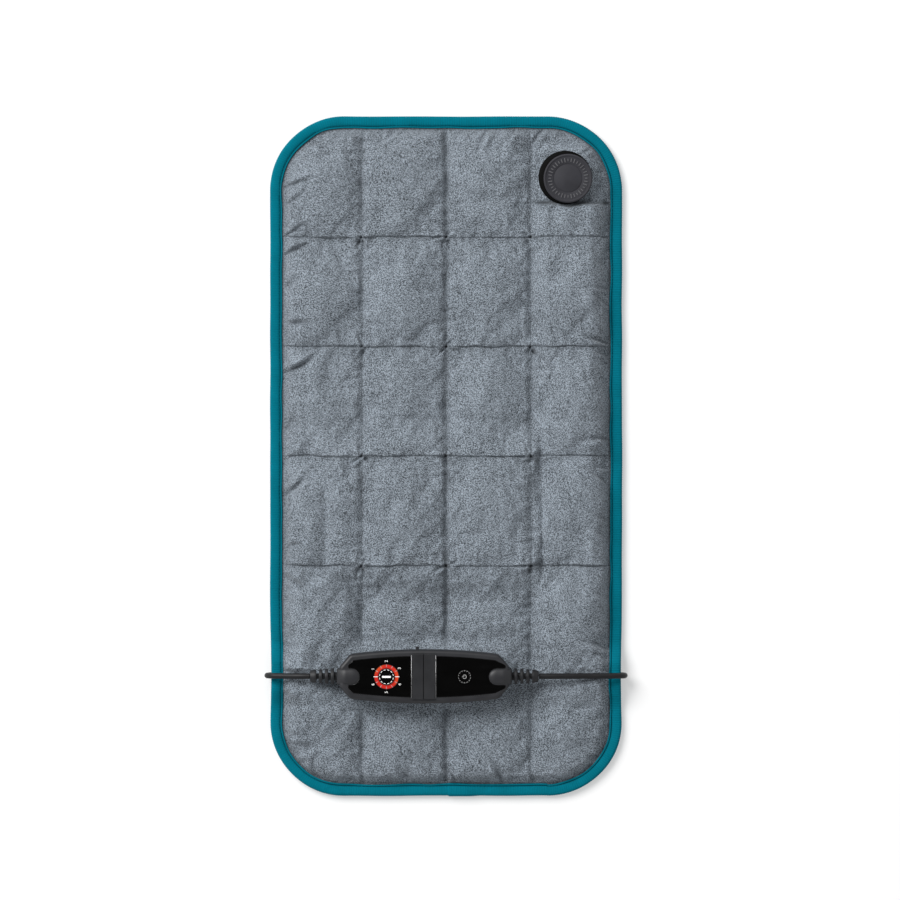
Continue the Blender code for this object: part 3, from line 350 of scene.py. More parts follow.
def gloss_look(name, colour, roughness=0.07):
    """Polished panel with faint handling marks."""
    look = Look(name, colour, roughness, Coat_Weight=0.6, Coat_Roughness=0.04)
    smears = look.noise(45.0, 4.0, look.stretched(1.0, 2.5, 1.0))
    look.set("Roughness", look.span(smears, 0.35, 0.75, roughness, roughness + 0.09))
    look.set("Base Color", look.tones(look.span(smears, 0.3, 0.7), 1.0, 1.5))
    return look.material


def metal_look(name, colour, roughness, stretch):
    """Drawn or turned metal."""
    look = Look(name, colour, roughness, 1.0)
    lines = look.noise(500.0, 3.0, look.stretched(*stretch))
    look.set("Base Color", look.tones(lines, 0.8, 1.15))
    look.set("Roughness", look.span(lines, 0.3, 0.7, roughness - 0.08, roughness + 0.12))
    look.set("Normal", look.bump(lines, 0.00003, 0.4))
    return look.material


def ring_look(colour):
    """Lit ring: red, with painted light that warms it to orange on two sides."""
    look = Look("level_ring", colour, 0.35, Coat_Weight=0.3)
    away = look.node("ShaderNodeVectorMath", {"operation": "SUBTRACT"},
                     {0: look.where(), 1: (DIAL_X, CONTROL_Y, 0.0)})
    x, y = (look.node("ShaderNodeSeparateXYZ", {}, {0: away}, axis) for axis in (0, 1))
    # painted light: the orange on the right and upper left is light painted into the base colour; the
    # ring emits nothing
    painted_warm_light = look.span(x, 0.006, 0.012).clamp() * 0.6 + look.span(y - x, 0.0105, 0.0150).clamp() * 0.6
    lit = look.blend(painted_warm_light.clamp(), look.tones(look.noise(420.0, 2.0), 0.72, 1.2), (0.62, 0.10, 0.008))
    outer = look.span(x * x + y * y, 0.0103 ** 2, 0.0107 ** 2).clamp()
    look.set("Base Color", look.blend(outer, lit, (0.02, 0.004, 0.004)))
    return look.material


def print_look(name, level):
    """Printed marks of some lightness."""
    look = Look(name, (level, level, level * 0.98), 0.5)
    look.set("Base Color", look.tones(look.noise(900.0, 2.0), 0.85, 1.1))
    return look.material


def board_look():
    """Solder mask with traces."""
    look = Look("solder_mask", (0.02, 0.14, 0.05), 0.35, Coat_Weight=0.4)
    traces = look.node("ShaderNodeTexVoronoi", {"feature": "DISTANCE_TO_EDGE"},
                       {"Vector": look.where(), "Scale": 320.0}, "Distance")
    line = look.span(traces, 0.03, 0.06)
    look.set("Base Color", look.blend(line, (0.06, 0.26, 0.10), (0.015, 0.11, 0.04)))
    look.set("Normal", look.bump(line, 0.00005, 0.4))
    return look.material


def floor_look():
    """White paper that glows a little, so that shadows stay pale."""
    look = Look("paper_floor", (0.52, 0.52, 0.52), 0.95, Specular_IOR_Level=0.0,
                Emission_Color=(1.0, 1.0, 1.0), Emission_Strength=0.36)
    return look.material


LOOKS = {}


def make_looks():
    """Build every material once."""
    pad = bpy.context.scene.pad_looks
    control = bpy.context.scene.controller_looks
    plush = tuple(pad.plush_colour)
    teal = tuple(pad.binding_colour)
    case = tuple(control.case_colour)
    LOOKS.update(
        plush=plush_look(plush),
        binding=binding_look(teal),
        plush_thread=thread_look("grey_thread", scaled(plush, 0.62)),
        binding_thread=thread_look("teal_thread", scaled(teal, 0.72)),
        case=moulded_look("case_plastic", case, 0.46),
        window=gloss_look("gloss_window", (0.0012,) * 3),
        black=moulded_look("black_plastic", (0.013, 0.013, 0.014), 0.42),
        puck=moulded_look("coupling_plastic", (0.029, 0.029, 0.034), 0.6, 1500.0, 0.00008, shine=0.12),
        rubber=moulded_look("black_rubber", (0.009, 0.009, 0.010), 0.6, 1400.0, 0.0001, shine=0.25),
        cord=moulded_look("cord_sheath", (0.0085, 0.0085, 0.0095), 0.48, 1100.0, 0.00008, shine=0.22),
        ring=ring_look(tuple(control.ring_colour)),
        print=print_look("white_print", 0.90),
        dim_print=print_look("grey_print", 0.36),
        skirt=moulded_look("skirt_plastic", (0.0016,) * 3, 0.6, shine=0.06),
        # painted highlight: the raised ticks are the lid's plastic drawn lighter, for the light they
        # catch
        lid_marks=moulded_look("coupling_marks_highlight", (0.085, 0.085, 0.092), 0.5, 1500.0, 0.00008),
        band=moulded_look("band_plastic", (0.0105, 0.011, 0.0128), 0.5),
        silicone=moulded_look("silicone_sleeve", (0.62, 0.56, 0.46), 0.5),
        pale=moulded_look("pale_plastic", (0.72, 0.69, 0.60), 0.5),
        steel=metal_look("plated_steel", (0.56, 0.56, 0.57), 0.3, (1.0, 1.0, 6.0)),
        brass=metal_look("drawn_brass", (0.72, 0.53, 0.22), 0.28, (6.0, 0.6, 6.0)),
        board=board_look())


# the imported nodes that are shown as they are
NODE_LOOKS = {
    "case": ("side_slide",),
    "band": ("band_bar_1", "band_bar_2"),
    "window": ("timer_button", "heat_dial"),
    "black": ("slide_plate", "relay", "plug_body", "coupling_back"),
    "rubber": ("coupling_seal", "coupling_relief", "plug_relief"),
    "silicone": ("heating_wire",),
    "pale": ("overheat_cutout", "contact_carrier", "capacitor"),
    "steel": ("dial_encoder", "button_switch", "slide_switch_body", "fuse",
              *(f"case_screw_{number}" for number in range(1, 5)),
              *(f"clamp_screw_{number}" for number in range(1, 4))),
    "brass": ("coupling_contact_1", "coupling_contact_2", "plug_blade_1", "plug_blade_2"),
    "board": ("circuit_board",),
    "ring": ("level_ring",),
}


# ---------------------------------------------------------------- mesh helpers
def paint(item, look):
    """Give a piece one of the materials."""
    item.data.materials.clear()
    item.data.materials.append(LOOKS[look])


def smooth(mesh, angle=40):
    mesh.shade_smooth()
    mesh.set_sharp_from_angle(angle=math.radians(angle))


def add_piece(name, data, look, body="pad"):
    """Put a mesh or a curve in the scene as a piece that moves with a body."""
    item = bpy.data.objects.new(name, data)
    bpy.context.scene.collection.objects.link(item)
    paint(item, look)
    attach(item, body)
    return item


def mesh_from(name, verts, faces, angle=40):
    mesh = bpy.data.meshes.new(name)
    mesh.from_pydata([tuple(map(float, vert)) for vert in verts], [], faces)
    mesh.validate()
    smooth(mesh, angle)
    return mesh


def mesh_of(bm, name, angle=40):
    bmesh.ops.recalc_face_normals(bm, faces=bm.faces)
    mesh = bpy.data.meshes.new(name)
    bm.to_mesh(mesh)
    bm.free()
    smooth(mesh, angle)
    return mesh


def apply_modifiers(item):
    """Make a piece's evaluated mesh its own."""
    bpy.context.view_layer.update()
    graph = bpy.context.evaluated_depsgraph_get()
    mesh = bpy.data.meshes.new_from_object(item.evaluated_get(graph))
    item.modifiers.clear()
    item.data = mesh


def grid_faces(rows, columns, flip=False, offset=0):
    """Quads of a grid of vertices, row by row."""
    faces = []
    for row in range(rows - 1):
        for column in range(columns - 1):
            first = offset + row * columns + column
            face = (first, first + 1, first + columns + 1, first + columns)
            faces.append(face[::-1] if flip else face)
    return faces


def waves(x, y, length, seed, count=14):
    """Smooth seeded noise from -1 to 1 with features of about the given length."""
    chance = np.random.default_rng(seed)
    total = np.zeros(np.broadcast(x, y).shape)
    for _ in range(count):
        angle = chance.uniform(0, 2 * np.pi)
        number = 2 * np.pi / (length * chance.uniform(0.7, 1.6))
        phase = chance.uniform(0, 2 * np.pi)
        total += np.sin(number * (x * np.cos(angle) + y * np.sin(angle)) + phase)
    return total / (count / 2) ** 0.5 / 2


def bell(distance, width):
    return np.exp(-(distance / width) ** 2)


def fade(distance, reach):
    """1 up to a distance of 0, then falling off over a reach."""
    return np.exp(-np.clip(distance, 0, None) / reach)


def ease(value):
    """Smooth step from 0 to 1."""
    value = np.clip(value, 0.0, 1.0)
    return value * value * (3 - 2 * value)


def zone(x, y, low_x, high_x, low_y, high_y, ramps):
    """1 inside a rectangle, easing to 0 over a ramp outside each side: left, right, below, above."""
    left, right, below, above = ramps
    across = ease((x - low_x) / left + 1) * ease((high_x - x) / right + 1)
    along = ease((y - low_y) / below + 1) * ease((high_y - y) / above + 1)
    return across * along


def lathe(name, profile, at, look, steps=96, axis="Z", angle=30):
    """Turn a profile of (radius, height) points, from the top of its outer side down."""
    bm = bmesh.new()
    rings = [[bm.verts.new((radius * math.cos(turn), radius * math.sin(turn), height))
              for turn in (2 * math.pi * step / steps for step in range(steps))]
             for radius, height in profile]
    for upper, lower in zip(rings, rings[1:]):
        for step in range(steps):
            after = (step + 1) % steps
            bm.faces.new((upper[step], lower[step], lower[after], upper[after]))
    bmesh.ops.remove_doubles(bm, verts=bm.verts, dist=1e-6)
    turned = {"Z": 0, "X": 90, "-X": -90}[axis]
    place = Matrix.Translation(at) @ Matrix.Rotation(math.radians(turned), 4, "Y")
    bmesh.ops.transform(bm, matrix=place, verts=bm.verts)
    return add_piece(name, mesh_of(bm, name, angle), look)


def raise_outline(bm, outline, bottom, top):
    """Raise a flat outline from one height to another."""
    face = bm.faces.new([bm.verts.new((x, y, bottom)) for x, y in outline])
    grown = bmesh.ops.extrude_face_region(bm, geom=[face], use_keep_orig=True)
    for item in grown["geom"]:
        if isinstance(item, bmesh.types.BMVert):
            item.co.z = top


def prism_mesh(name, outline, bottom, top, bevel=0.0, segments=3):
    """A flat outline raised between two heights, with the rim at the second one rounded."""
    bm = bmesh.new()
    raise_outline(bm, outline, bottom, top)
    bmesh.ops.recalc_face_normals(bm, faces=bm.faces)
    if bevel:
        rim = [edge for edge in bm.edges
               if all(abs(vert.co.z - top) < 1e-6 for vert in edge.verts)]
        bmesh.ops.bevel(bm, geom=rim, offset=bevel, segments=segments, profile=0.5, affect="EDGES")
    return mesh_of(bm, name)


def cut_with(item, meshes):
    """Take shapes away from a piece, and keep its flat faces flat."""
    material = item.data.materials[0]
    helpers = []
    for mesh in meshes:
        helper = bpy.data.objects.new("cutter", mesh)
        bpy.context.scene.collection.objects.link(helper)
        boolean = item.modifiers.new("cut", "BOOLEAN")
        boolean.object = helper
        helpers.append(helper)
    apply_modifiers(item)
    for helper in helpers:
        bpy.data.objects.remove(helper, do_unlink=True)
    smooth(item.data, 35)
    flat = item.modifiers.new("flat", "WEIGHTED_NORMAL")
    flat.keep_sharp = True
    flat.weight = 100
    apply_modifiers(item)
    item.data.materials.clear()
    item.data.materials.append(material)


def smooth_route(knots, spacing):
    """Evenly spaced points on a smooth curve through the knots (centripetal Catmull-Rom)."""
    knots = [Vector(knot) for knot in knots]
    ends = [2 * knots[0] - knots[1], *knots, 2 * knots[-1] - knots[-2]]
    fine = []
    for a, b, c, d in zip(ends, ends[1:], ends[2:], ends[3:]):
        t1 = (b - a).length ** 0.5
        t2 = t1 + (c - b).length ** 0.5
        t3 = t2 + (d - c).length ** 0.5
        for step in range(24):
            t = t1 + (t2 - t1) * step / 24
            a1 = a.lerp(b, t / t1)
            a2 = b.lerp(c, (t - t1) / (t2 - t1))
            a3 = c.lerp(d, (t - t2) / (t3 - t2))
            b1 = a1.lerp(a2, t / t2)
            b2 = a2.lerp(a3, (t - t1) / (t3 - t1))
            fine.append(b1.lerp(b2, (t - t1) / (t2 - t1)))
    fine.append(knots[-1])
    lengths = [0.0]
    for first, second in zip(fine, fine[1:]):
        lengths.append(lengths[-1] + (second - first).length)
    count = max(2, round(lengths[-1] / spacing))
    result, place = [], 0
    for number in range(count + 1):
        target = lengths[-1] * number / count
        while place < len(fine) - 2 and lengths[place + 1] < target:
            place += 1
        share = (target - lengths[place]) / (lengths[place + 1] - lengths[place])
        result.append(fine[place].lerp(fine[place + 1], min(share, 1.0)))
    return result


def route_length(points):
    return sum((second - first).length for first, second in zip(points, points[1:]))


def round_line(name, points, radius, look):
    """A round lead through points."""
    curve = bpy.data.curves.new(name, "CURVE")
    curve.dimensions = "3D"
    curve.bevel_depth = radius
    curve.bevel_resolution = 5
    curve.use_fill_caps = True
    spline = curve.splines.new("POLY")
    spline.points.add(len(points) - 1)
    for spline_point, point in zip(spline.points, points):
        spline_point.co = (*point, 1.0)
    return add_piece(name, curve, look)


# ---------------------------------------------------------------- the pad's surfaces
def lift(x, y):
    """How far the leads and the coil hold the underside off the floor."""
    hop_low, hop_high = CONTROL_Y - HOP_HALF, CONTROL_Y + HOP_HALF
    narrow, hop_ramp, wide = 0.017, 0.020, 0.034
    cords = np.maximum.reduce([
        zone(x, y, CHANNEL_INNER, CHANNEL_OUTER, hop_low, HALF_Y - 0.034,
             (narrow, narrow, hop_ramp, 0.012)) * ease((edge_distance(x, y) - 0.008) / 0.012),
        zone(x, y, -CHANNEL_OUTER, -CHANNEL_INNER, hop_low, -QUILT_ROW / 3,
             (narrow, narrow, hop_ramp, wide)),
        zone(x, y, CHANNEL_INNER, 2 * HALF_X, hop_low, hop_high, (narrow, narrow, hop_ramp, hop_ramp)),
        zone(x, y, -2 * HALF_X, -CHANNEL_INNER, hop_low, hop_high,
             (narrow, narrow, hop_ramp, hop_ramp))])
    coil = zone(x, y, -CHANNEL_INNER, QUILT_COLUMN, -QUILT_ROW, 0.0, (wide, narrow, wide, wide))
    return np.maximum(cords * CORD_LIFT, coil * COIL_LIFT)


def pinch(y):
    """How far the cords pull the edges in."""
    return EDGE_PINCH * bell(y - CONTROL_Y, 0.030)


def half_width(y, inset):
    """The pad's half width at a distance along it, inside its outline by an inset."""
    radius = CORNER_RADIUS - inset
    past = np.clip(np.abs(y) - ARC_Y, 0.0, radius)
    rounded = ARC_X + np.sqrt(np.maximum(radius ** 2 - past ** 2, 0.0))
    return rounded - pinch(y)


def edge_distance(x, y):
    """Distance in from the pad's outline."""
    over_x = np.maximum(np.abs(x) - ARC_X, 0.0)
    over_y = np.maximum(np.abs(y) - ARC_Y, 0.0)
    corner = CORNER_RADIUS - np.hypot(over_x, over_y)
    return np.where((over_x > 0) & (over_y > 0), corner,
                    np.minimum(HALF_X - np.abs(x), HALF_Y - np.abs(y)))


def cell_lines(seams, per_cell, crowd=0.07):
    """Grid lines between seams, closer together near each seam."""
    result = []
    for start, end in zip(seams, seams[1:]):
        count = max(4, round(per_cell * (end - start) / QUILT_ROW))
        share = np.arange(count) / count
        share = share - crowd * np.sin(2 * np.pi * share)
        result.append(start + (end - start) * share)
    return np.concatenate(result + [np.array([seams[-1]])])


def pad_grid(per_cell):
    """Plan coordinates of a pad-shaped grid whose lines follow the seams."""
    end = HALF_Y - COVER_INSET
    side = HALF_X - COVER_INSET
    rows = cell_lines([-end, *(QUILT_ROW * row for row in SEAM_ROWS), end], per_cell)
    columns = cell_lines([-side, *(QUILT_COLUMN * column for column in SEAM_COLUMNS), side], per_cell)
    y = np.repeat(rows[:, None], len(columns), axis=1)
    u = np.repeat(columns[None, :], len(rows), axis=0)
    width = half_width(y, COVER_INSET)
    outer = np.clip((np.abs(u) - QUILT_COLUMN) / (side - QUILT_COLUMN), 0.0, 1.0)
    x = np.where(outer > 0, np.sign(u) * (QUILT_COLUMN + outer * (width - QUILT_COLUMN)), u)
    return x, y


def seam_fields(x, y):
    """Wavy seam lines: signed distances to the nearest across and along seams."""
    wander_y = 0.0007 * waves(x, y * 0.2, 0.030, 11) + 0.0009 * waves(x, y * 0.0, 0.110, 12)
    wander_x = 0.0006 * waves(x * 0.2, y, 0.034, 13)
    row = np.clip(np.round(y / QUILT_ROW), SEAM_ROWS[0], SEAM_ROWS[-1])
    across = y - row * QUILT_ROW - wander_y
    column = np.clip(np.round(x / QUILT_COLUMN), SEAM_COLUMNS[0], SEAM_COLUMNS[-1])
    along = x - column * QUILT_COLUMN - wander_x
    return across, along


def from_coupling(x, y):
    """Distance from the coupling's middle."""
    return np.hypot(x - COUPLING_X, y - COUPLING_Y)


def beyond_last_column(x):
    """1 to the right of the last seam along the pad."""
    return ease((x - QUILT_COLUMN) / 0.003)


def in_pocket(x, y):
    """1 in the corner pocket that holds the coupling, easing to 0 round it."""
    return ease((x - QUILT_COLUMN) / 0.008) * ease((y - POCKET_EDGE_Y + 0.004) / 0.008)


def under_control(x, y):
    """1 under the controller, easing to 0 round it."""
    return zone(x, y, CONTROL_X - CONTROL_LENGTH / 2 + 0.004, CONTROL_X + CONTROL_LENGTH / 2 - 0.004,
                CONTROL_Y - CONTROL_WIDTH / 2 + 0.003, CONTROL_Y + CONTROL_WIDTH / 2 - 0.003,
                (0.014,) * 4)


def puff(x, y):
    """0 on the seams and the edge, 1 in the middle of a cell."""
    across, along = seam_fields(x, y)
    near = 1 - fade(np.abs(across), PUFF_REACH / 1.6)
    beside = 1 - fade(np.abs(along), PUFF_REACH / 1.4)
    edge = ease((edge_distance(x, y) - 0.0095) / PUFF_REACH)
    return near * beside * edge ** 0.7


def top_height(x, y, seam_height, crest_height):
    """The quilted top before it is puffed up."""
    edge = edge_distance(x, y)
    inner = ease((edge - 0.010) / 0.010)
    quilt = seam_height + (crest_height - seam_height) * puff(x, y) * 1.1
    quilt = quilt * (1 - in_pocket(x, y)) + POCKET_HEIGHT * in_pocket(x, y)
    raised = lift(x, y)
    flat = np.maximum(CONTROL_REST - raised, 0.011)
    held = under_control(x, y)
    quilt = quilt * (1 - held) + flat * held
    return raised + TUCKED_HEIGHT + (quilt - TUCKED_HEIGHT) * inner


def puff_cloth(item, held):
    """Let the cover puff and pucker between its seams, and keep the result."""
    group = item.vertex_groups.new(name="sewn")
    group.add(np.flatnonzero(held).tolist(), 1.0, "REPLACE")
    cloth = item.modifiers.new("cloth", "CLOTH")
    fabric = cloth.settings
    fabric.quality = 6
    fabric.mass = 0.12
    fabric.tension_stiffness = fabric.compression_stiffness = 12
    fabric.shear_stiffness = 4
    fabric.bending_stiffness = 0.02
    fabric.air_damping = 2.0
    fabric.vertex_group_mass = "sewn"
    fabric.use_pressure = True
    fabric.uniform_pressure_force = 1.6
    fabric.shrink_min = -CLOTH_GROWTH
    fabric.effector_weights.gravity = 0.0
    cloth.collision_settings.use_collision = False
    cloth.collision_settings.use_self_collision = False
    cloth.point_cache.frame_start = 1
    cloth.point_cache.frame_end = CLOTH_FRAMES
    scene = bpy.context.scene
    for number in range(1, CLOTH_FRAMES + 1):
        scene.frame_set(number)
    apply_modifiers(item)
    scene.frame_set(1)


def coordinates(mesh):
    flat = np.empty(len(mesh.vertices) * 3)
    mesh.vertices.foreach_get("co", flat)
    return flat.reshape(-1, 3)


def store(mesh, points):
    mesh.vertices.foreach_set("co", points.reshape(-1))
    mesh.update()


def add_attribute(mesh, name, values):
    layer = mesh.attributes.new(name, "FLOAT", "POINT")
    layer.data.foreach_set("value", np.asarray(values, np.float32))


def coupling_spikes(x, y):
    """Narrow folds that fan out from the coupling."""
    chance = np.random.default_rng(77)
    count, reach = 11, 0.036
    away = from_coupling(x, y)
    angle = np.arctan2(y - COUPLING_Y, x - COUPLING_X)
    total = np.zeros_like(x)
    for number in range(count):
        turn = 2 * np.pi * (number + chance.uniform(-0.3, 0.3)) / count
        curl = chance.uniform(-9, 9)
        gap = (angle + curl * away - turn + np.pi) % (2 * np.pi) - np.pi
        width = (0.0022 + 0.13 * away) / 1.4
        size = chance.uniform(0.4, 1.0) * chance.choice([-1, 1, 1])
        length = reach * chance.uniform(0.6, 1.4)
        total += size * bell(gap * away, width) * np.exp(-(away / length) ** 1.5)
    return total * (1 - bell(away, 0.004))


def crease(x, y, start, turn, length, width, bend=0.0):
    """A fold that runs out from a point: a soft ridge with a sharp valley beside it."""
    right, up = x - start[0], y - start[1]
    along = right * math.cos(turn) + up * math.sin(turn)
    across = up * math.cos(turn) - right * math.sin(turn) + bend * along * along
    reach = ease(along / 0.003 + 1) * ease((length - along) / (0.7 * length))
    widening = width * (1 + 0.8 * np.clip(along / length, 0, 1))
    return reach * (bell(across - 0.8 * widening, widening) - 0.9 * bell(across + 0.2 * widening,
                                                                       0.55 * widening))


EDGE_CREASES = 76
CREASE_START = 0.0095         # how far in from the outline the folds begin


def edge_creases(x, y):
    """Slanting folds that start at the binding."""
    chance = np.random.default_rng(5)
    # how far the folds lean from straight inwards, in degrees, by the side that they start at
    slants = {(1, 0): (-42, -8), (0, 1): (-48, -12), (-1, 0): (12, 52), (0, -1): (12, 55)}
    total = np.zeros_like(x)
    for number in range(EDGE_CREASES):
        distance = PERIMETER * (number + chance.uniform(0.1, 0.9)) / EDGE_CREASES
        point, normal = outline_point(distance)
        side = min(slants, key=lambda facing: -(facing[0] * normal.x + facing[1] * normal.y))
        slant = math.radians(chance.uniform(*slants[side]))
        if side == (-1, 0) and point.y < -QUILT_ROW:
            slant = -slant
        turn = math.atan2(-normal.y, -normal.x) + slant
        start = point - normal * CREASE_START
        corner = abs(2 * normal.x * normal.y)
        size = chance.uniform(0.25, 1.0) ** 1.3 * (1 - 0.55 * corner)
        total += size * crease(x, y, start, turn, 0.012 + 0.028 * size * chance.uniform(0.6, 1.2),
                               0.0022 * chance.uniform(0.8, 1.5), chance.uniform(-12, 12))
    return total


def knot_creases(x, y):
    """Short folds and a dimple where two seams cross."""
    chance = np.random.default_rng(9)
    total = np.zeros_like(x)
    for row in SEAM_ROWS:
        for column in SEAM_COLUMNS:
            centre = (column * QUILT_COLUMN, row * QUILT_ROW)
            first = chance.uniform(0, 2 * math.pi)
            for number in range(6):
                turn = first + 2 * math.pi * (number + chance.uniform(-0.25, 0.25)) / 6
                size = chance.uniform(0.3, 1.0)
                total += size * crease(x, y, centre, turn, 0.006 + 0.011 * size,
                                       0.0017 * chance.uniform(0.8, 1.4), chance.uniform(-25, 25))
            spot = (centre[0] + chance.uniform(-0.002, 0.004), centre[1] - chance.uniform(0.001, 0.005))
            total -= chance.uniform(0.5, 1.3) * bell(np.hypot(x - spot[0], y - spot[1]), 0.0032)
    return total


def seam_details(x, y):
    """Heights that the sewing adds: lips, grooves, puckers, dimples and edge folds."""
    across, along = seam_fields(x, y)
    edge = edge_distance(x, y)
    free = (1 - under_control(x, y)) * ease((edge - 0.0100) / 0.005)
    plain = 1 - in_pocket(x, y)
    wide = waves(x, y, 0.050, 21)
    lip = 0.0013 * fade(across, 0.0035) * ease(across / 0.0006) * (1 + 0.5 * wide)
    groove = -0.0008 * bell(across, 0.0008)
    centre = 1 + 0.8 * bell(x, 0.012)
    valley = -0.0013 * centre * bell(along, 0.0030)
    pull = 0.6 + 0.4 * waves(x, y, 0.040, 23)
    puckers = (
        0.00085 * waves(x + 0.35 * along, y * 0.25, 0.0075, 31) * fade(np.abs(across), 0.009)
        + 0.00080 * waves(x * 0.25, y + 0.4 * across, 0.0080, 32) * fade(np.abs(along), 0.008))
    rim = waves(x * 1.2 + y * 0.7, y * 1.1 - x * 0.6, 0.011, 41) * fade(edge - 0.009, 0.010) * 0.0007
    slanted = waves(x * 0.8 - y * 0.6, (y * 0.8 + x * 0.6) * 0.45, 0.019, 51)
    rumple = 0.00055 * slanted + 0.0003 * waves(x, y, 0.010, 52)
    pocket_seam = bell(y - POCKET_EDGE_Y, 0.0016) * beyond_last_column(x)
    folds = 0.0038 * edge_creases(x, y) + 0.0028 * knot_creases(x, y)
    sewn = (lip + groove + valley + puckers * pull * 1.3) * plain
    return free * (sewn + folds + rim + rumple - 0.0018 * pocket_seam)


# where each fold leaves the flange and how it leans, in degrees, then its length and depth
COUPLING_CREASES = ((-112, -70, 0.026, 0.0022), (-48, 15, 0.016, 0.0016), (62, -35, 0.018, 0.0015),
                    (8, 20, 0.012, 0.0012), (168, 30, 0.014, 0.0012), (-80, 60, 0.014, 0.0010))


def coupling_folds(x, y):
    """Folds where the cover is clamped by the coupling."""
    away = from_coupling(x, y)
    dip = -0.0010 * bell(away - FLANGE_RADIUS - 0.002, 0.004)
    for degrees, slant, length, depth in COUPLING_CREASES:
        turn = math.radians(degrees)
        start = (COUPLING_X + FLANGE_RADIUS * math.cos(turn),
                 COUPLING_Y + FLANGE_RADIUS * math.sin(turn))
        dip = dip + depth * crease(x, y, start, turn + math.radians(slant), length, 0.0020)
    spikes = 0.0022 * coupling_spikes(x, y) * ease((away - FLANGE_RADIUS + 0.001) / 0.004)
    return (spikes + dip) * ease((edge_distance(x, y) - 0.009) / 0.006)


def limit_top(x, y, z):
    """Keep the top clear of the controller, the coupling and the binding."""
    past_flange = np.maximum(from_coupling(x, y) - FLANGE_RADIUS - 0.0012, 0)
    z = np.minimum(z, FLANGE_BASE - 0.0004 + past_flange * 2)
    rested = CONTROL_BASE - 0.0004 + np.clip(0.85 - under_control(x, y), 0, None) * 0.05
    z = np.where(under_control(x, y) > 0.3, np.minimum(z, rested), z)
    clear = np.maximum(edge_distance(x, y) - TAPE_CLEAR, 0) * 1.6
    return np.minimum(z, lift(x, y) + TUCKED_HEIGHT + clear)


def seam_mask(x, y):
    """Painted shade on the pile: how much darker it is drawn in the seam grooves, under the seam lips,
    in the valleys along the columns, beside the binding's inner edge and in the creases; the dotted
    lines along the columns are stitch colour. 0 for none, up to 1, and past 1 on the pocket's seam,
    which is painted shade too.
    """
    across, along = seam_fields(x, y)
    edge = edge_distance(x, y)
    bare = 1 - under_control(x, y)
    plain = (1 - in_pocket(x, y)) * bare
    # painted shade: line darkens the seam groove, below the shade under each lip, valley the hollows
    # along the columns, rim the strip beside the binding, folds the creases, pocket the pocket's seam;
    # stitched is the stitch line
    line = bell(across, 0.0006) * np.clip(0.75 + 0.5 * waves(x, y * 0, 0.009, 61), 0.2, 1)
    below = 0.55 * fade(-across, 0.0035) * (across < 0) * (1 - bell(across, 0.0008))
    centre = 0.45 + 0.35 * bell(x, 0.012)
    valley = centre * bell(along, 0.0028) * np.clip(0.8 + 0.4 * waves(x * 0, y, 0.024, 62), 0, 1.2)
    stitched = 0.6 * bell(along, 0.0007) * np.clip(0.4 + 1.2 * waves(x * 0, y, 0.013, 63), 0, 1)
    rim = ease((0.0128 - edge) / 0.0016) + 0.45 * fade(edge - TAPE_CLEAR, 0.005)
    folds = np.clip(-1.6 * edge_creases(x, y) - 1.2 * knot_creases(x, y), 0, 1.0) * bare
    sewn = np.maximum.reduce([line, below, valley, stitched]) * plain
    broken = np.clip(0.85 + 0.4 * waves(x, y * 0, 0.011, 64), 0.3, 1.1)
    pocket = 1.65 * bell(y - POCKET_EDGE_Y - 0.0003, 0.0019) * beyond_last_column(x) * broken
    return np.maximum(np.clip(np.maximum.reduce([sewn, rim, folds]), 0, 1), pocket)


def add_sheet(name, x, y, z, flip=False):
    """A sheet of plush over a grid of places."""
    verts = np.stack([x.ravel(), y.ravel(), z.ravel()], axis=1)
    mesh = mesh_from(name, verts, grid_faces(*x.shape, flip=flip), 180)
    return add_piece(name, mesh, "plush")


def make_top(settings):
    """The quilted top cover."""
    x, y = pad_grid(46)
    z = top_height(x, y, settings.seam_height, settings.crest_height) + 0.5 * seam_details(x, y)
    item = add_sheet("top_cover_plush", x, y, z)
    across, along = seam_fields(x, y)
    sewn = (np.abs(across) < 0.0012) | (np.abs(along) < 0.0012)
    border = edge_distance(x, y) < 0.0110
    clamped = from_coupling(x, y) < FLANGE_RADIUS + 0.001
    drawn = coordinates(item.data)
    puff_cloth(item, (under_control(x, y) > 0.6) | clamped | border | sewn)
    change = coordinates(item.data) - drawn
    distance = np.linalg.norm(change, axis=1, keepdims=True)
    change *= np.minimum(1.0, PUFF_LIMIT / np.maximum(distance, 1e-9))
    store(item.data, drawn + change)
    finer = item.modifiers.new("finer", "SUBSURF")
    finer.levels = finer.render_levels = 1
    apply_modifiers(item)
    points = coordinates(item.data)
    x, y = points[:, 0], points[:, 1]
    points[:, 2] += 0.6 * seam_details(x, y) + coupling_folds(x, y)
    points[:, 2] = limit_top(x, y, points[:, 2])
    store(item.data, points)
    add_attribute(item.data, "seam", seam_mask(x, y))
    thicken_sheet(item)
    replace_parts(item, "top_cover", "bead_fill")
    return item


def thicken_sheet(item):
    """Close an open sheet by giving it a thickness under its face."""
    solid = item.modifiers.new("thickness", "SOLIDIFY")
    solid.thickness = COVER_THICKNESS
    solid.offset = -1.0
    apply_modifiers(item)
    smooth(item.data, 180)


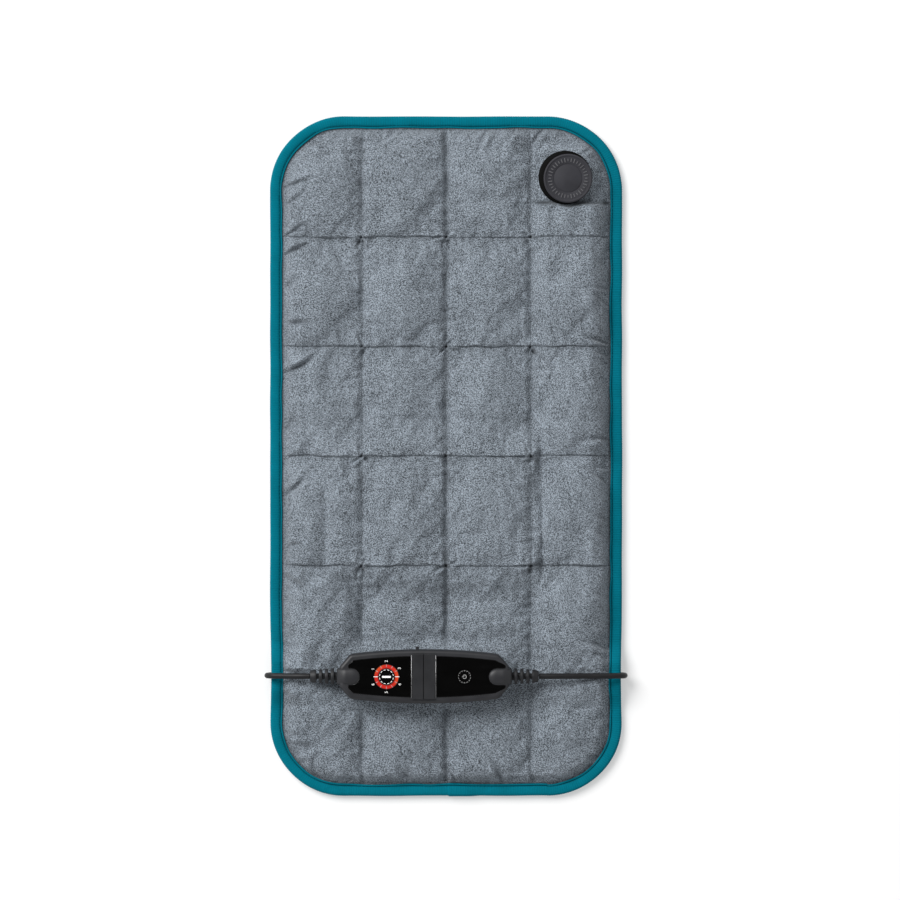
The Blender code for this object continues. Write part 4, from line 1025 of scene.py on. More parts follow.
def make_back():
    """The back cover, which lies flat except where something under it lifts it."""
    x, y = pad_grid(26)
    edge = edge_distance(x, y)
    across, along = seam_fields(x, y)
    inside = ease((edge - 0.012) / 0.01)
    groove = 0.0022 * np.maximum(bell(across, 0.0030), bell(along, 0.0030)) * inside
    dents = 0.0005 * (1 + waves(x, y, 0.018, 61)) * inside
    tuck = 0.0020 * (1 - ease((edge - 0.010) / 0.012))
    item = add_sheet("back_cover_plush", x, y, lift(x, y) + 0.0002 + groove + dents + tuck, True)
    add_attribute(item.data, "seam", seam_mask(x.ravel(), y.ravel()))
    thicken_sheet(item)
    hole = circle(STEM_RADIUS, 48, (COUPLING_X, COUPLING_Y))
    cut_with(item, [prism_mesh("stem_hole", hole, -0.001, 0.014)])
    smooth(item.data, 180)
    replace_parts(item, "back_cover", "heater_carrier")


def circle(radius, count, centre=(0.0, 0.0)):
    return [(centre[0] + radius * math.cos(2 * math.pi * step / count),
             centre[1] + radius * math.sin(2 * math.pi * step / count)) for step in range(count)]


def outline_point(distance):
    """A point of the pad's outline and its outward direction, by distance from (ARC_X, -HALF_Y)."""
    quarter = math.pi / 2 * CORNER_RADIUS
    runs = [quarter, 2 * ARC_Y, quarter, 2 * ARC_X] * 2
    distance = distance % sum(runs)
    for number, run in enumerate(runs):
        if distance <= run:
            break
        distance -= run
    side = number // 2
    corner = [(1, -1), (1, 1), (-1, 1), (-1, -1)][side]
    middle = Vector((corner[0] * ARC_X, corner[1] * ARC_Y, 0))
    if number % 2 == 0:
        angle = (side - 1) * math.pi / 2 + distance / CORNER_RADIUS
        normal = Vector((math.cos(angle), math.sin(angle), 0))
        return middle + normal * CORNER_RADIUS, normal
    normal = [Vector((1, 0, 0)), Vector((0, 1, 0)), Vector((-1, 0, 0)), Vector((0, -1, 0))][side]
    along = Vector((-normal.y, normal.x, 0))
    return middle + normal * CORNER_RADIUS + along * distance, normal


def edge_place(distance):
    """An outline point, its outward direction, and how far the leads pull it in and lift it."""
    point, normal = outline_point(distance)
    pulled = float(pinch(point.y)) if abs(normal.x) > 0.5 else 0.0
    lifted = float(lift(point.x - normal.x * 0.006, point.y))
    return point, normal, pulled, lifted


PERIMETER = 4 * (ARC_X + ARC_Y) + 2 * math.pi * CORNER_RADIUS
JOIN_X = 0.002               # the tape's ends overlap from here, on the bottom edge
JOIN_LENGTH = 0.030
GROOVE_INSET = 0.0020        # the sewn groove's distance from the tape's inner edge


def binding_profile(width):
    """The folded tape's section as (inset, height), round its outer and inner faces."""
    top = 2 * TAPE_HALF
    groove = width - GROOVE_INSET
    face = [(width, top - 0.0016), (width - 0.0003, top - 0.0009), (width - 0.0010, top - 0.0007),
            (groove + 0.0004, top - 0.0010), (groove, top - 0.0015), (groove - 0.0005, top - 0.0008),
            (groove - 0.0016, top - 0.0003), (width * 0.45, top)]
    round_edge = [(0.0026 - 0.0026 * math.sin(math.radians(turn)) ** 0.9,
                   TAPE_HALF + TAPE_HALF * math.cos(math.radians(turn))) for turn in range(0, 181, 20)]
    outer = face + round_edge + [(width * 0.4, 0.0), (width * 0.7, 0.0002), (width, 0.0006)]
    inner = [(width + 0.0003, 0.0011), (width, 0.0016), (0.0040, 0.0014), (0.0018, TAPE_HALF),
             (0.0040, top - 0.0014), (width - 0.003, top - 0.0021), (width, top - 0.0022)]
    return outer, inner


def make_binding(settings):
    """The woven tape folded over the pad's edge."""
    width = settings.binding_width
    outer, inner = binding_profile(width)
    section = outer + inner
    per_rib = 4
    count = round(PERIMETER / settings.rib_pitch) * per_rib
    distances = np.arange(count) * PERIMETER / count
    wobble = 0.00030 * waves(distances, 0.0, 0.060, 71) - 0.0002
    slack = 0.00045 * waves(distances, 0.0, 0.035, 72)
    join = PERIMETER - (ARC_X - JOIN_X)
    past = (distances - join) % PERIMETER
    overlap = np.where(past < JOIN_LENGTH, 0.0007 * ease((JOIN_LENGTH - past) / 0.012), 0.0)
    verts, along, dark = [], [], []
    for step, distance in enumerate(distances):
        point, normal, squeeze, base = edge_place(distance)
        swell = 0.00010 * math.cos(2 * math.pi * step / per_rib) + overlap[step]
        for index, (inset, height) in enumerate(section):
            shown = index < len(outer)
            shift = wobble[step] - squeeze - inset
            if shown and inset < 0.003:
                shift += swell
            if inset > width - 0.0025:
                shift += slack[step]
            rise = swell * (height / TAPE_HALF - 1) if shown and inset >= 0.0015 else 0.0
            place = point + normal * shift
            verts.append((place.x, place.y, base + max(height + rise, 0.0)))
            along.append(step / per_rib)
            # painted shade for the groove attribute: 1 in the sewn groove, 0.35 on the inner faces that
            # lie under the covers
            in_groove = (shown and abs(inset - width + GROOVE_INSET) < 0.0005
                         and height > TAPE_HALF)
            dark.append(1.0 if in_groove else 0.35 if not shown else 0.0)
    size = len(section)
    faces = []
    for step in range(count):
        after = (step + 1) % count
        for index in range(size):
            beside = (index + 1) % size
            faces.append((step * size + index, after * size + index, after * size + beside,
                          step * size + beside))
    mesh = mesh_from("woven_binding", verts, faces, 50)
    add_attribute(mesh, "along", along)
    add_attribute(mesh, "groove", dark)
    bm = bmesh.new()
    bm.from_mesh(mesh)
    bmesh.ops.recalc_face_normals(bm, faces=bm.faces)
    bm.to_mesh(mesh)
    bm.free()
    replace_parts(add_piece("woven_binding", mesh, "binding"), "edge_binding")


def stitch_mesh(name, places, length, radius):
    """Rows of short stitches: each place is a middle, a direction and an up direction."""
    ring = 6
    # along the stitch as a share of its length, then its width and height as shares of its radius
    shape = [(-0.5, 0.25, -0.8), (-0.38, 0.85, 0.2), (-0.12, 1.0, 0.75), (0.12, 1.0, 0.75),
             (0.38, 0.85, 0.2), (0.5, 0.25, -0.8)]
    verts, faces = [], []
    for middle, direction, up in places:
        side = direction.cross(up)
        start = len(verts)
        for along, width, rise in shape:
            centre = middle + direction * (along * length) + up * (rise * radius)
            for step in range(ring):
                turn = 2 * math.pi * step / ring
                verts.append(centre + (side * math.cos(turn) + up * math.sin(turn)) * radius * width)
        for row in range(len(shape) - 1):
            for step in range(ring):
                after = (step + 1) % ring
                faces.append((start + row * ring + step, start + row * ring + after,
                              start + (row + 1) * ring + after, start + (row + 1) * ring + step))
        faces.append(tuple(start + step for step in reversed(range(ring))))
        faces.append(tuple(start + (len(shape) - 1) * ring + step for step in range(ring)))
    return mesh_from(name, verts, faces, 60)


def make_stitches(settings, top):
    """Stitches along the quilting seams, lying down in them."""
    bpy.context.view_layer.update()
    pitch = settings.stitch_pitch
    margin = 0.013
    across, along = Vector((1, 0, 0)), Vector((0, 1, 0))
    seams = [(Vector((column * QUILT_COLUMN, 0, 0)), along, HALF_Y - margin) for column in SEAM_COLUMNS]
    seams += [(Vector((0, row * QUILT_ROW, 0)), across, HALF_X - margin) for row in SEAM_ROWS]
    spots = []
    for middle, direction, reach in seams:
        for number in range(int(2 * reach / pitch)):
            base = middle + direction * (pitch * (number + 0.5) - reach)
            drift_y, drift_x = seam_fields(base.x, base.y)
            base -= along * float(drift_y) if direction == across else across * float(drift_x)
            if under_control(base.x, base.y) > 0.5:
                continue
            hit, place, normal, _ = top.ray_cast(base + Vector((0, 0, 0.2)), Vector((0, 0, -1)))
            if hit:
                tangent = (direction - normal * direction.dot(normal)).normalized()
                spots.append((place + normal * 0.00005, tangent, normal))
    mesh = stitch_mesh("quilting_stitches", spots, pitch * 0.66, 0.00030)
    add_piece("quilting_stitches", mesh, "plush_thread")


def make_binding_stitches(settings):
    """The row of stitches that holds the tape, near its inner edge."""
    pitch = settings.stitch_pitch * 0.9
    spots = []
    count = int(PERIMETER / pitch)
    for step in range(count):
        point, normal, squeeze, base = edge_place(PERIMETER * (step + 0.5) / count)
        place = point - normal * (settings.binding_width - GROOVE_INSET + squeeze)
        place.z = base + 0.0062
        spots.append((place, Vector((-normal.y, normal.x, 0)), Vector((0, 0, 1))))
    mesh = stitch_mesh("binding_stitches", spots, pitch * 0.62, 0.00026)
    add_piece("binding_stitches", mesh, "binding_thread")


# ---------------------------------------------------------------- the coupling
def add_bar(bm, centre, size, turn, bottom, height, offset=0.0):
    """A small flat bar at a turn about a centre."""
    made = bmesh.ops.create_cube(bm, size=1.0)["verts"]
    bmesh.ops.scale(bm, vec=(*size, height), verts=made)
    place = (Matrix.Translation((*centre, bottom + height / 2)) @ Matrix.Rotation(turn, 4, "Z")
             @ Matrix.Translation((offset, 0, 0)))
    bmesh.ops.transform(bm, matrix=place, verts=made)


def make_coupling():
    """The round coupling: cap with a ring of raised ticks, skirt and clamped flange."""
    top, bottom = CAP_HIGH[2], CAP_LOW[2]
    radius = (CAP_HIGH[0] - CAP_LOW[0]) / 2 - 0.0006
    rounding = 0.0012
    rim = [(radius - rounding + rounding * math.sin(math.radians(turn)),
            top - rounding + rounding * math.cos(math.radians(turn))) for turn in range(5, 91, 17)]
    face = [(reach, top - drop) for reach, drop in (
        (0.0, 0.0008), (0.0119, 0.0008), (0.0121, 0.0009), (0.0123, 0.0012), (0.0127, 0.0012),
        (0.0129, 0.0009), (0.0131, 0.0008), (0.0188, 0.0009), (0.0192, 0.0008), (0.0197, 0.0002),
        (0.0201, 0.0))]
    wall = [(radius - inset, height) for inset, height in (
        (0.0, top - 0.0040), (0.0003, top - 0.0044), (0.0003, top - 0.0050), (0.0, top - 0.0054),
        (0.0, bottom + 0.0006), (0.0006, bottom), (0.0018, bottom), (0.0018, top - 0.0042),
        (0.0036, top - 0.0030))]
    cap = lathe("coupling_lid", [*face, *rim, *wall, (0.0, top - 0.0030)], (*CAP_PLACE, 0), "puck",
                144)
    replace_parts(cap, "coupling_cap")
    bore, step_radius, skirt_foot = 0.0078, 0.0120, FLANGE_BASE - 0.0050
    skirt_top = FLANGE_HIGH[2]
    skirt = lathe("coupling_skirt", [
        (bore, skirt_top), (radius, skirt_top), (FLANGE_RADIUS - 0.0004, skirt_top - 0.0005),
        (FLANGE_RADIUS, skirt_top - 0.0011), (FLANGE_RADIUS, FLANGE_BASE + 0.0004),
        (FLANGE_RADIUS - 0.0030, skirt_foot), (step_radius, skirt_foot),
        (step_radius, FLANGE_LOW[2]), (bore, FLANGE_LOW[2]), (bore, skirt_top)],
        (*SKIRT_PLACE, 0), "skirt", 144)
    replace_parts(skirt, "coupling_base")
    ticks = bmesh.new()
    thick = 0.0008
    for number in range(COUPLING_TICKS):
        add_bar(ticks, CAP_PLACE, ((0.0022, 0.0038, 0.0030)[number % 3], thick),
                2 * math.pi * number / COUPLING_TICKS, top - 0.00055 - thick / 2, thick, 0.0160)
    bmesh.ops.bevel(ticks, geom=ticks.edges[:], offset=0.0001, segments=2, affect="EDGES")
    # the ticks are drawn lighter than the lid: painted highlight
    add_piece("coupling_ticks", mesh_of(ticks, "coupling_ticks"), "lid_marks")


# ---------------------------------------------------------------- the controller
SHOULDER_X = 0.0650           # where the bowed sides end and the chamfered corners start
SHOULDER_WIDTH = 0.0390
END_WIDTH = 0.0175
NOSE_RADIUS = 0.0074
NOSE_TIP = 0.0566             # from the controller's middle
WINDOW_TOP = CONTROL_TOP - 0.0002


def bow(x):
    """Half the controller's width at a distance from its middle."""
    half = CONTROL_LENGTH / 2
    if abs(x) <= SHOULDER_X:
        share = x / SHOULDER_X
        return (CONTROL_WIDTH - (CONTROL_WIDTH - SHOULDER_WIDTH) * share * share) / 2
    share = (abs(x) - SHOULDER_X) / (half - SHOULDER_X)
    return (SHOULDER_WIDTH + (END_WIDTH - SHOULDER_WIDTH) * share) / 2


def rounded_corners(outline, radius, steps=6):
    """Replace an outline's sharp corners with arcs."""
    result = []
    count = len(outline)
    for index in range(count):
        before, here, after = (Vector(outline[(index + shift) % count]) for shift in (-1, 0, 1))
        into, out = (before - here), (after - here)
        if into.length < 1e-9 or out.length < 1e-9:
            continue
        turn = math.pi - into.angle(out)
        if turn < 0.12:
            result.append(tuple(here))
            continue
        reach = min(radius * math.tan(turn / 2), into.length * 0.45, out.length * 0.45)
        start = here + into.normalized() * reach
        end = here + out.normalized() * reach
        for step in range(steps + 1):
            t = step / steps
            point = start * (1 - t) ** 2 + here * 2 * t * (1 - t) + end * t ** 2
            result.append(tuple(point))
    return result


def control_outline(inset):
    """The controller's outline, with its corners rounded."""
    half = CONTROL_LENGTH / 2
    stops = [half, *np.linspace(SHOULDER_X, 0.0, 13)]
    stops += [-stop for stop in reversed(stops[:-1])]
    upper = [(stop * (1 - inset / half), bow(stop) - inset) for stop in stops]
    outline = upper + [(x, -y) for x, y in reversed(upper)]
    outline = rounded_corners(outline, max(0.0050 - inset, 0.0012))
    return [(CONTROL_X + x, CONTROL_Y + y) for x, y in outline]


def window_outline(inner, outer, grow):
    """A window's outline: bowed edges, and a round notch at the outer end for the nose."""
    side = math.copysign(1.0, outer)
    near, far = min(abs(inner), abs(outer)) - grow, max(abs(inner), abs(outer)) + grow
    frame_width = 0.0056 - grow
    notch = NOSE_RADIUS - grow
    chamfer_x = SHOULDER_X - 0.0028
    edge = [(x, bow(x) - frame_width) for x in np.linspace(near, chamfer_x, 9)]
    upper = edge + [(far, notch + 0.0030)]
    arc = [(NOSE_TIP + notch - notch * math.sin(math.radians(angle)),
            notch * math.cos(math.radians(angle))) for angle in range(0, 181, 12)]
    upper += [(far, notch)]
    lower = [(x, -y) for x, y in reversed(upper)]
    outline = [(side * x, y) for x, y in upper + arc + lower]
    outline = outline if side < 0 else list(reversed(outline))
    outline = rounded_corners(outline, 0.0016, 4)
    return [(CONTROL_X + x, CONTROL_Y + y) for x, y in outline]


# each window's two ends, from the controller's middle
WINDOWS = {"dial": (-0.0664, -0.0112), "button": (0.0102, 0.0712)}
DIAL = (DIAL_X, CONTROL_Y)
BUTTON = (BUTTON_X, CONTROL_Y)
HOLES = {"dial": (0.0110, 64, DIAL), "button": (0.0058, 48, BUTTON)}    # radius, steps, middle
HOLE_GAP = 0.0003
WALL = 0.0020
ABOVE = CONTROL_TOP + 0.0020  # where shapes that cut through the top end


def hole_mesh(name, bottom):
    """The round hole for the ring or the button, as a shape to cut away."""
    radius, steps, centre = HOLES[name]
    return prism_mesh("hole", circle(radius + HOLE_GAP, steps, centre), bottom, ABOVE)


def make_case():
    """The two halves of the case and its glossy windows."""
    shell = prism_mesh("case_top", control_outline(0.0), CONTROL_SPLIT, CONTROL_TOP, 0.0032, 6)
    upper = add_piece("case_top", shell, "case")
    recesses = [prism_mesh("recess", window_outline(*span, 0.0003), CONTROL_TOP - 0.0013, ABOVE)
                for span in WINDOWS.values()]
    hollow = prism_mesh("hollow", control_outline(WALL), CONTROL_SPLIT - 0.001, CONTROL_TOP - 0.0030)
    cut_with(upper, [*recesses, hollow, *(hole_mesh(name, CONTROL_SPLIT) for name in WINDOWS)])
    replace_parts(upper, "control_upper_shell")

    tray = prism_mesh("case_bottom", control_outline(0.0), CONTROL_SPLIT - 0.0003, CONTROL_BASE,
                      0.0030, 6)
    lower = add_piece("case_bottom", tray, "case")
    cut_with(lower, [prism_mesh("hollow", control_outline(WALL), CONTROL_BASE + WALL,
                                CONTROL_SPLIT + 0.001)])
    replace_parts(lower, "control_lower_shell")

    for name, span in WINDOWS.items():
        panel = prism_mesh(name + "_panel", window_outline(*span, 0.0), CONTROL_TOP - 0.0012,
                           WINDOW_TOP, 0.00025)
        item = add_piece(name + "_panel", panel, "window")
        cut_with(item, [hole_mesh(name, CONTROL_TOP - 0.004)])
        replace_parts(item, name + "_window")


def make_nose(name, side):
    """A domed end of the case that runs into a strain relief."""
    rows, columns = 30, 25
    length = CONTROL_LENGTH / 2 - NOSE_TIP + 0.0022
    droop_from, droop, rise = 0.62, 0.0040, 0.0023
    verts = []
    for row in range(rows):
        reach = length * (row / (rows - 1)) ** 1.6
        rounding = math.sqrt(max(1 - max(1 - reach / NOSE_RADIUS, 0) ** 2, 0.0))
        width = (NOSE_RADIUS - 0.0008) * rounding
        past = max(reach / length - droop_from, 0) / (1 - droop_from)
        base = CONTROL_TOP - 0.0004 - droop * past ** 1.6
        for column in range(columns):
            angle = math.pi * column / (columns - 1)
            verts.append((CONTROL_X + side * (NOSE_TIP + reach), CONTROL_Y - width * math.cos(angle),
                          base + rise * rounding * math.sin(angle)))
    faces = grid_faces(rows, columns, flip=side < 0)
    floor = len(verts)
    verts += [(x, y, CONTROL_TOP - 0.0024 - 0.6 * max(CONTROL_TOP - z, 0)) for x, y, z in verts]
    faces += grid_faces(rows, columns, flip=side > 0, offset=floor)
    rim = ([row * columns for row in range(rows)]
           + [(rows - 1) * columns + column for column in range(1, columns)]
           + [row * columns + columns - 1 for row in range(rows - 2, -1, -1)]
           + list(range(columns - 2, 0, -1)))
    for first, second in zip(rim, rim[1:] + rim[:1]):
        faces.append((first, second, floor + second, floor + first))
    bm = bmesh.new()
    bm.from_mesh(mesh_from("nose", verts, faces, 60))
    bmesh.ops.remove_doubles(bm, verts=bm.verts, dist=1e-6)
    add_piece(name, mesh_of(bm, name, 60), "case")


def make_band():
    """Thin bright strips beside the centre band's two bars: painted highlights for the light on the
    band's bevelled edges.
    """
    edges = {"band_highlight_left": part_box("band_bar_1")[0][0] - 0.0006,
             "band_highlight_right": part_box("band_bar_2")[1][0] + 0.0006}
    width, reach = 0.0003, 0.0188
    for name, middle in edges.items():
        left, right = middle - width / 2, middle + width / 2
        near, far = CONTROL_Y - reach, CONTROL_Y + reach
        mesh = prism_mesh(name, [(left, near), (right, near), (right, far), (left, far)],
                          WINDOW_TOP, CONTROL_TOP + 0.0008, 0.0001, 2)
        add_piece(name, mesh, "steel")


def ring_dashes(radius, width, count, share, centre, bottom, height, skip=()):
    """Short arcs on a circle."""
    bm = bmesh.new()
    for number in range(count):
        if number in skip:
            continue
        middle = 2 * math.pi * (number + 0.5) / count
        spread = math.pi * share / count
        angles = [middle + spread * (2 * step / 3 - 1) for step in range(4)]
        inner, outer = ([(centre[0] + reach * math.cos(angle), centre[1] + reach * math.sin(angle))
                         for angle in angles] for reach in (radius - width / 2, radius + width / 2))
        raise_outline(bm, outer + inner[::-1], bottom, bottom + height)
    return bm


NUMBER_TURNS = (150, 90, 33, -30, -90, -150, 115, 60, 0)    # degrees round the dial
NUMBER_RADIUS = 0.0136
NUMBER_SIZE = 0.0037
PRINT_THICKNESS = 0.00006
PRINT_SUNK = 0.00005          # how deep the marks' undersides lie in the plastic


def text_mesh(name, words):
    """A printed sign as a mesh."""
    text = bpy.data.curves.new(name, "FONT")
    text.body = words
    text.size = NUMBER_SIZE
    text.extrude = PRINT_THICKNESS
    text.align_x = "CENTER"
    text.align_y = "CENTER"
    helper = bpy.data.objects.new(name, text)
    bpy.context.scene.collection.objects.link(helper)
    bpy.context.view_layer.update()
    graph = bpy.context.evaluated_depsgraph_get()
    mesh = bpy.data.meshes.new_from_object(helper.evaluated_get(graph))
    bpy.data.objects.remove(helper, do_unlink=True)
    return mesh


def add_marks(name, bm, look, body="pad"):
    add_piece(name, mesh_of(bm, name), look, body)


def make_marks(settings):
    """Ticks, dashes, numbers and the power sign."""
    ring_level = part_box("level_ring")[1][2] - PRINT_SUNK
    long_ticks = (0, 6)
    thin_ticks = [number for number in range(12) if number not in long_ticks]
    for name, look, width, length, offset, places in (
            ("ring_ticks", "print", 0.00055, 0.0042, 0.0093, long_ticks),
            ("ring_thin_ticks", "dim_print", 0.00035, 0.0022, 0.0097, thin_ticks)):
        ticks = bmesh.new()
        for number in places:
            add_bar(ticks, DIAL, (length, width), math.pi / 6 * number, ring_level, 0.00012, offset)
        add_marks(name, ticks, look)

    dial_top = DIAL_HIGH[2]
    face_level = dial_top - 0.0010 - PRINT_SUNK
    add_marks("dial_dashes", ring_dashes(0.0061, 0.00045, 12, 0.55, DIAL, face_level, 0.00015),
              "print", "dial")
    pointer = bmesh.new()
    add_bar(pointer, DIAL, (0.0076, 0.0017), 0.0, dial_top - PRINT_SUNK, 0.00015)
    add_marks("dial_pointer", pointer, "print", "dial")

    level, thick = BUTTON_HIGH[2] - PRINT_SUNK, 0.00013
    power_bar = bmesh.new()
    add_bar(power_bar, BUTTON, (0.0019, 0.0004), math.pi, level, thick, 0.0012)
    signs = {"button_dashes": ring_dashes(0.0052, 0.0003, 14, 0.45, BUTTON, level, thick),
             "power_arc": ring_dashes(0.0016, 0.0004, 10, 1.02, BUTTON, level, thick, skip=(4, 5)),
             "power_bar": power_bar}
    for name, bm in signs.items():
        add_marks(name, bm, "dim_print", "button")

    for number, degrees in zip(range(1, settings.levels + 1), NUMBER_TURNS):
        turn = math.radians(degrees)
        mesh = text_mesh(f"number_{number}", str(number))
        place = (DIAL_X + NUMBER_RADIUS * math.cos(turn), CONTROL_Y + NUMBER_RADIUS * math.sin(turn),
                 WINDOW_TOP + 0.00002)
        mesh.transform(Matrix.Translation(place) @ Matrix.Rotation(math.pi / 2, 4, "Z"))
        add_piece(f"number_{number}", mesh, "print")


def make_relief(name, side, node):
    """A tapered strain relief with open ribs."""
    length, root, tip = 0.0300, 0.0074, 0.0052
    ribs, first_rib, groove = 4, 0.0062, 0.0034
    pitch = (length - 0.0092) / ribs
    profile = [(0.0, length), (tip - 0.0010, length), (tip - 0.0003, length - 0.0004),
               (tip, length - 0.0012)]
    for rib in reversed(range(ribs)):
        start = first_rib + pitch * rib
        radius = root + (tip - root) * start / length
        profile += [(radius + grown, start + pitch * share) for grown, share in (
            (-0.0002, 1.0), (0.0, 0.94), (0.0001, 0.72), (0.0, 0.52), (0.0001 - groove, 0.47),
            (-groove, 0.08), (-0.0003, 0.03))]
    profile += [(root, 0.0052), (root, 0.0046), (root - 0.0008, 0.0044), (root - 0.0008, 0.0),
                (0.0, 0.0)]
    place = (CONTROL_X + side * (CONTROL_LENGTH / 2 - 0.0040), CONTROL_Y, EXIT_Z)
    item = lathe(name, profile, place, "band", 48, "X" if side > 0 else "-X", 35)
    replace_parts(item, node)


# ---------------------------------------------------------------- leads
def wrap(side):
    """A lead's half turn round the pad's edge, from its upper run to the floor."""
    radius, steps = 0.0098, 9
    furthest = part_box("pad_lead")[1][0] if side > 0 else -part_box("mains_lead")[0][0]
    middle_x = side * (furthest - CORD_RADIUS - radius)
    middle_z = CORD_FLOOR + radius
    turns = [math.pi / 2 - math.pi * step / (steps - 1) for step in range(steps)]
    return [(middle_x + side * radius * math.cos(turn), CONTROL_Y, middle_z + radius * math.sin(turn))
            for turn in turns]


def right_route():
    """The pad lead: controller, right edge, under the pad to the coupling."""
    back_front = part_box("coupling_relief")[0][1]
    return [(CONTROL_X + RELIEF_REACH + 0.0003, CONTROL_Y, EXIT_Z),
            (CONTROL_X + RELIEF_REACH + 0.0203, CONTROL_Y, EXIT_Z - 0.0005),
            (CONTROL_X + RELIEF_REACH + 0.0453, CONTROL_Y, EXIT_Z - 0.0050), *wrap(1),
            (RUN_X + 0.0220, CONTROL_Y + 0.0004, CORD_FLOOR),
            (RUN_X + 0.0090, CONTROL_Y + 0.0060, CORD_FLOOR), (RUN_X, CONTROL_Y + 0.0230, CORD_FLOOR),
            (RUN_X - 0.0020, CONTROL_Y + 0.0500, CORD_FLOOR), (RUN_X, -0.6 * QUILT_ROW, CORD_FLOOR),
            (RUN_X - 0.0050, 0.5 * QUILT_ROW, CORD_FLOOR),
            (RUN_X - 0.0030, 1.5 * QUILT_ROW, CORD_FLOOR),
            (COUPLING_X, COUPLING_Y - 0.0560, CORD_FLOOR),
            (COUPLING_X, back_front - 0.0003, CORD_FLOOR)]


def coil_points():
    """Two layers of turns: inwards on the floor, then outwards on top."""
    steps = 20
    ramp = steps // 2
    total = COIL_TURNS * steps
    lower, upper = CORD_FLOOR, CORD_FLOOR + 2 * CORD_RADIUS + 0.0001
    points = []
    for layer, (start, end, height) in enumerate(((COIL_RADII[1], COIL_RADII[0], lower),
                                                  (COIL_RADII[0], COIL_RADII[1], upper))):
        for step in range(total + 1):
            share = step / total
            radius = start + (end - start) * share
            angle = -math.pi / 2 + 2 * math.pi * (COIL_TURNS * (layer + share))
            z = height
            if layer == 0 and step > total - ramp:
                z = lower + (upper - lower) * 0.5 * (step - total + ramp) / ramp
            if layer == 1 and step < ramp:
                z = lower + (upper - lower) * (0.5 + 0.5 * step / ramp)
            points.append((COIL_CENTRE[0] + radius * math.cos(angle),
                           COIL_CENTRE[1] + radius * math.sin(angle), z))
    return points[:total] + points[total + 1:]


def left_route():
    """The mains lead: controller, left edge, under the pad, a coil, and its plug."""
    plug_low, plug_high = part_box("plug_relief")
    plug_x = (plug_low[0] + plug_high[0]) / 2
    lead = [(CONTROL_X - RELIEF_REACH - 0.0003, CONTROL_Y, EXIT_Z),
            (CONTROL_X - RELIEF_REACH - 0.0093, CONTROL_Y, EXIT_Z - 0.0010), *wrap(-1),
            (-RUN_X - 0.0220, CONTROL_Y + 0.0004, CORD_FLOOR),
            (-RUN_X - 0.0080, CONTROL_Y + 0.0070, CORD_FLOOR), (-RUN_X, CONTROL_Y + 0.0240, CORD_FLOOR),
            (-RUN_X + 0.0020, CONTROL_Y + 0.0500, CORD_FLOOR),
            (-RUN_X + 0.0050, -0.1150, CORD_FLOOR), (-0.0960, -0.0960, CORD_FLOOR),
            (-0.0720, -0.0880, CORD_FLOOR)]
    tail = [(-0.0150, -0.0880, 2 * CORD_RADIUS + 0.0016), (0.0060, -0.0885, CORD_FLOOR + 0.0006),
            (0.0230, -0.0830, CORD_FLOOR), (0.0340, -0.0745, CORD_FLOOR + 0.0008),
            (plug_x - 0.0003, -0.0680, CORD_FLOOR + 0.0020),
            (plug_x, plug_low[1] - 0.0003, (plug_low[2] + plug_high[2]) / 2)]
    return lead, coil_points(), tail


def make_leads(settings):
    """Both leads at their real lengths."""
    radius = settings.radius
    right = smooth_route(right_route(), 0.004)
    pad_lead = round_line("pad_lead_sheath", right, radius, "cord")
    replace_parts(pad_lead, "pad_lead")
    round(route_length(right), 3)
    lead, coil, tail = left_route()
    left = smooth_route(lead + coil + tail, 0.003)
    mains = round_line("mains_lead_sheath", left, radius, "cord")
    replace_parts(mains, "mains_lead", "mains_coil", "mains_tail")
    round(route_length(left), 3)


# ---------------------------------------------------------------- operators
VIEW_PLACE = (0.0034, 0.0053)    # the plan place under the camera
PAD_FACE = 0.010              # the height at which the view's width is measured
FLOOR_REACH = 6.0
FLOOR_GAP = 0.0003
KEY_PLACE = (-2.4, 2.15, 3.2)
KEY_SIZE = 3.0
SKY_DIM_FROM, SKY_DIM_TO = 0.84, 0.95    # the sky fades out overhead, where shiny parts mirror it


def stage_object(name, data):
    item = bpy.data.objects.new(name, data)
    bpy.context.scene.collection.objects.link(item)
    return item


def make_camera(settings):
    """A long lens straight over the pad."""
    camera = bpy.data.cameras.new("camera")
    camera.sensor_width = 36.0
    camera.lens = camera.sensor_width * settings.camera_height / settings.view_width
    camera.clip_start = 0.01
    camera.clip_end = 50.0
    view = stage_object("camera", camera)
    view.location = (*VIEW_PLACE, settings.camera_height + PAD_FACE)
    bpy.context.scene.camera = view


def make_floor():
    """A wide sheet of white paper."""
    floor = bpy.data.meshes.new("floor")
    floor.from_pydata([(x * FLOOR_REACH, y * FLOOR_REACH, -FLOOR_GAP)
                       for x, y in ((-1, -1), (1, -1), (1, 1), (-1, 1))], [], [(0, 1, 2, 3)])
    floor.materials.append(floor_look())
    stage_object("floor", floor)


def make_sky(settings):
    """Soft light from all round."""
    world = bpy.data.worlds.new("studio")
    bpy.context.scene.world = world
    world.use_nodes = True
    tree = world.node_tree
    where = tree.nodes.new("ShaderNodeTexCoord")
    split = tree.nodes.new("ShaderNodeSeparateXYZ")
    dimmed = tree.nodes.new("ShaderNodeMapRange")
    for name, value in (("From Min", SKY_DIM_FROM), ("From Max", SKY_DIM_TO),
                        ("To Min", settings.sky), ("To Max", settings.sky * 0.02)):
        dimmed.inputs[name].default_value = value
    background = tree.nodes["Background"]
    background.inputs["Color"].default_value = (1.0, 1.0, 1.0, 1.0)
    tree.links.new(where.outputs["Generated"], split.inputs[0])
    tree.links.new(split.outputs["Z"], dimmed.inputs["Value"])
    tree.links.new(dimmed.outputs[0], background.inputs["Strength"])


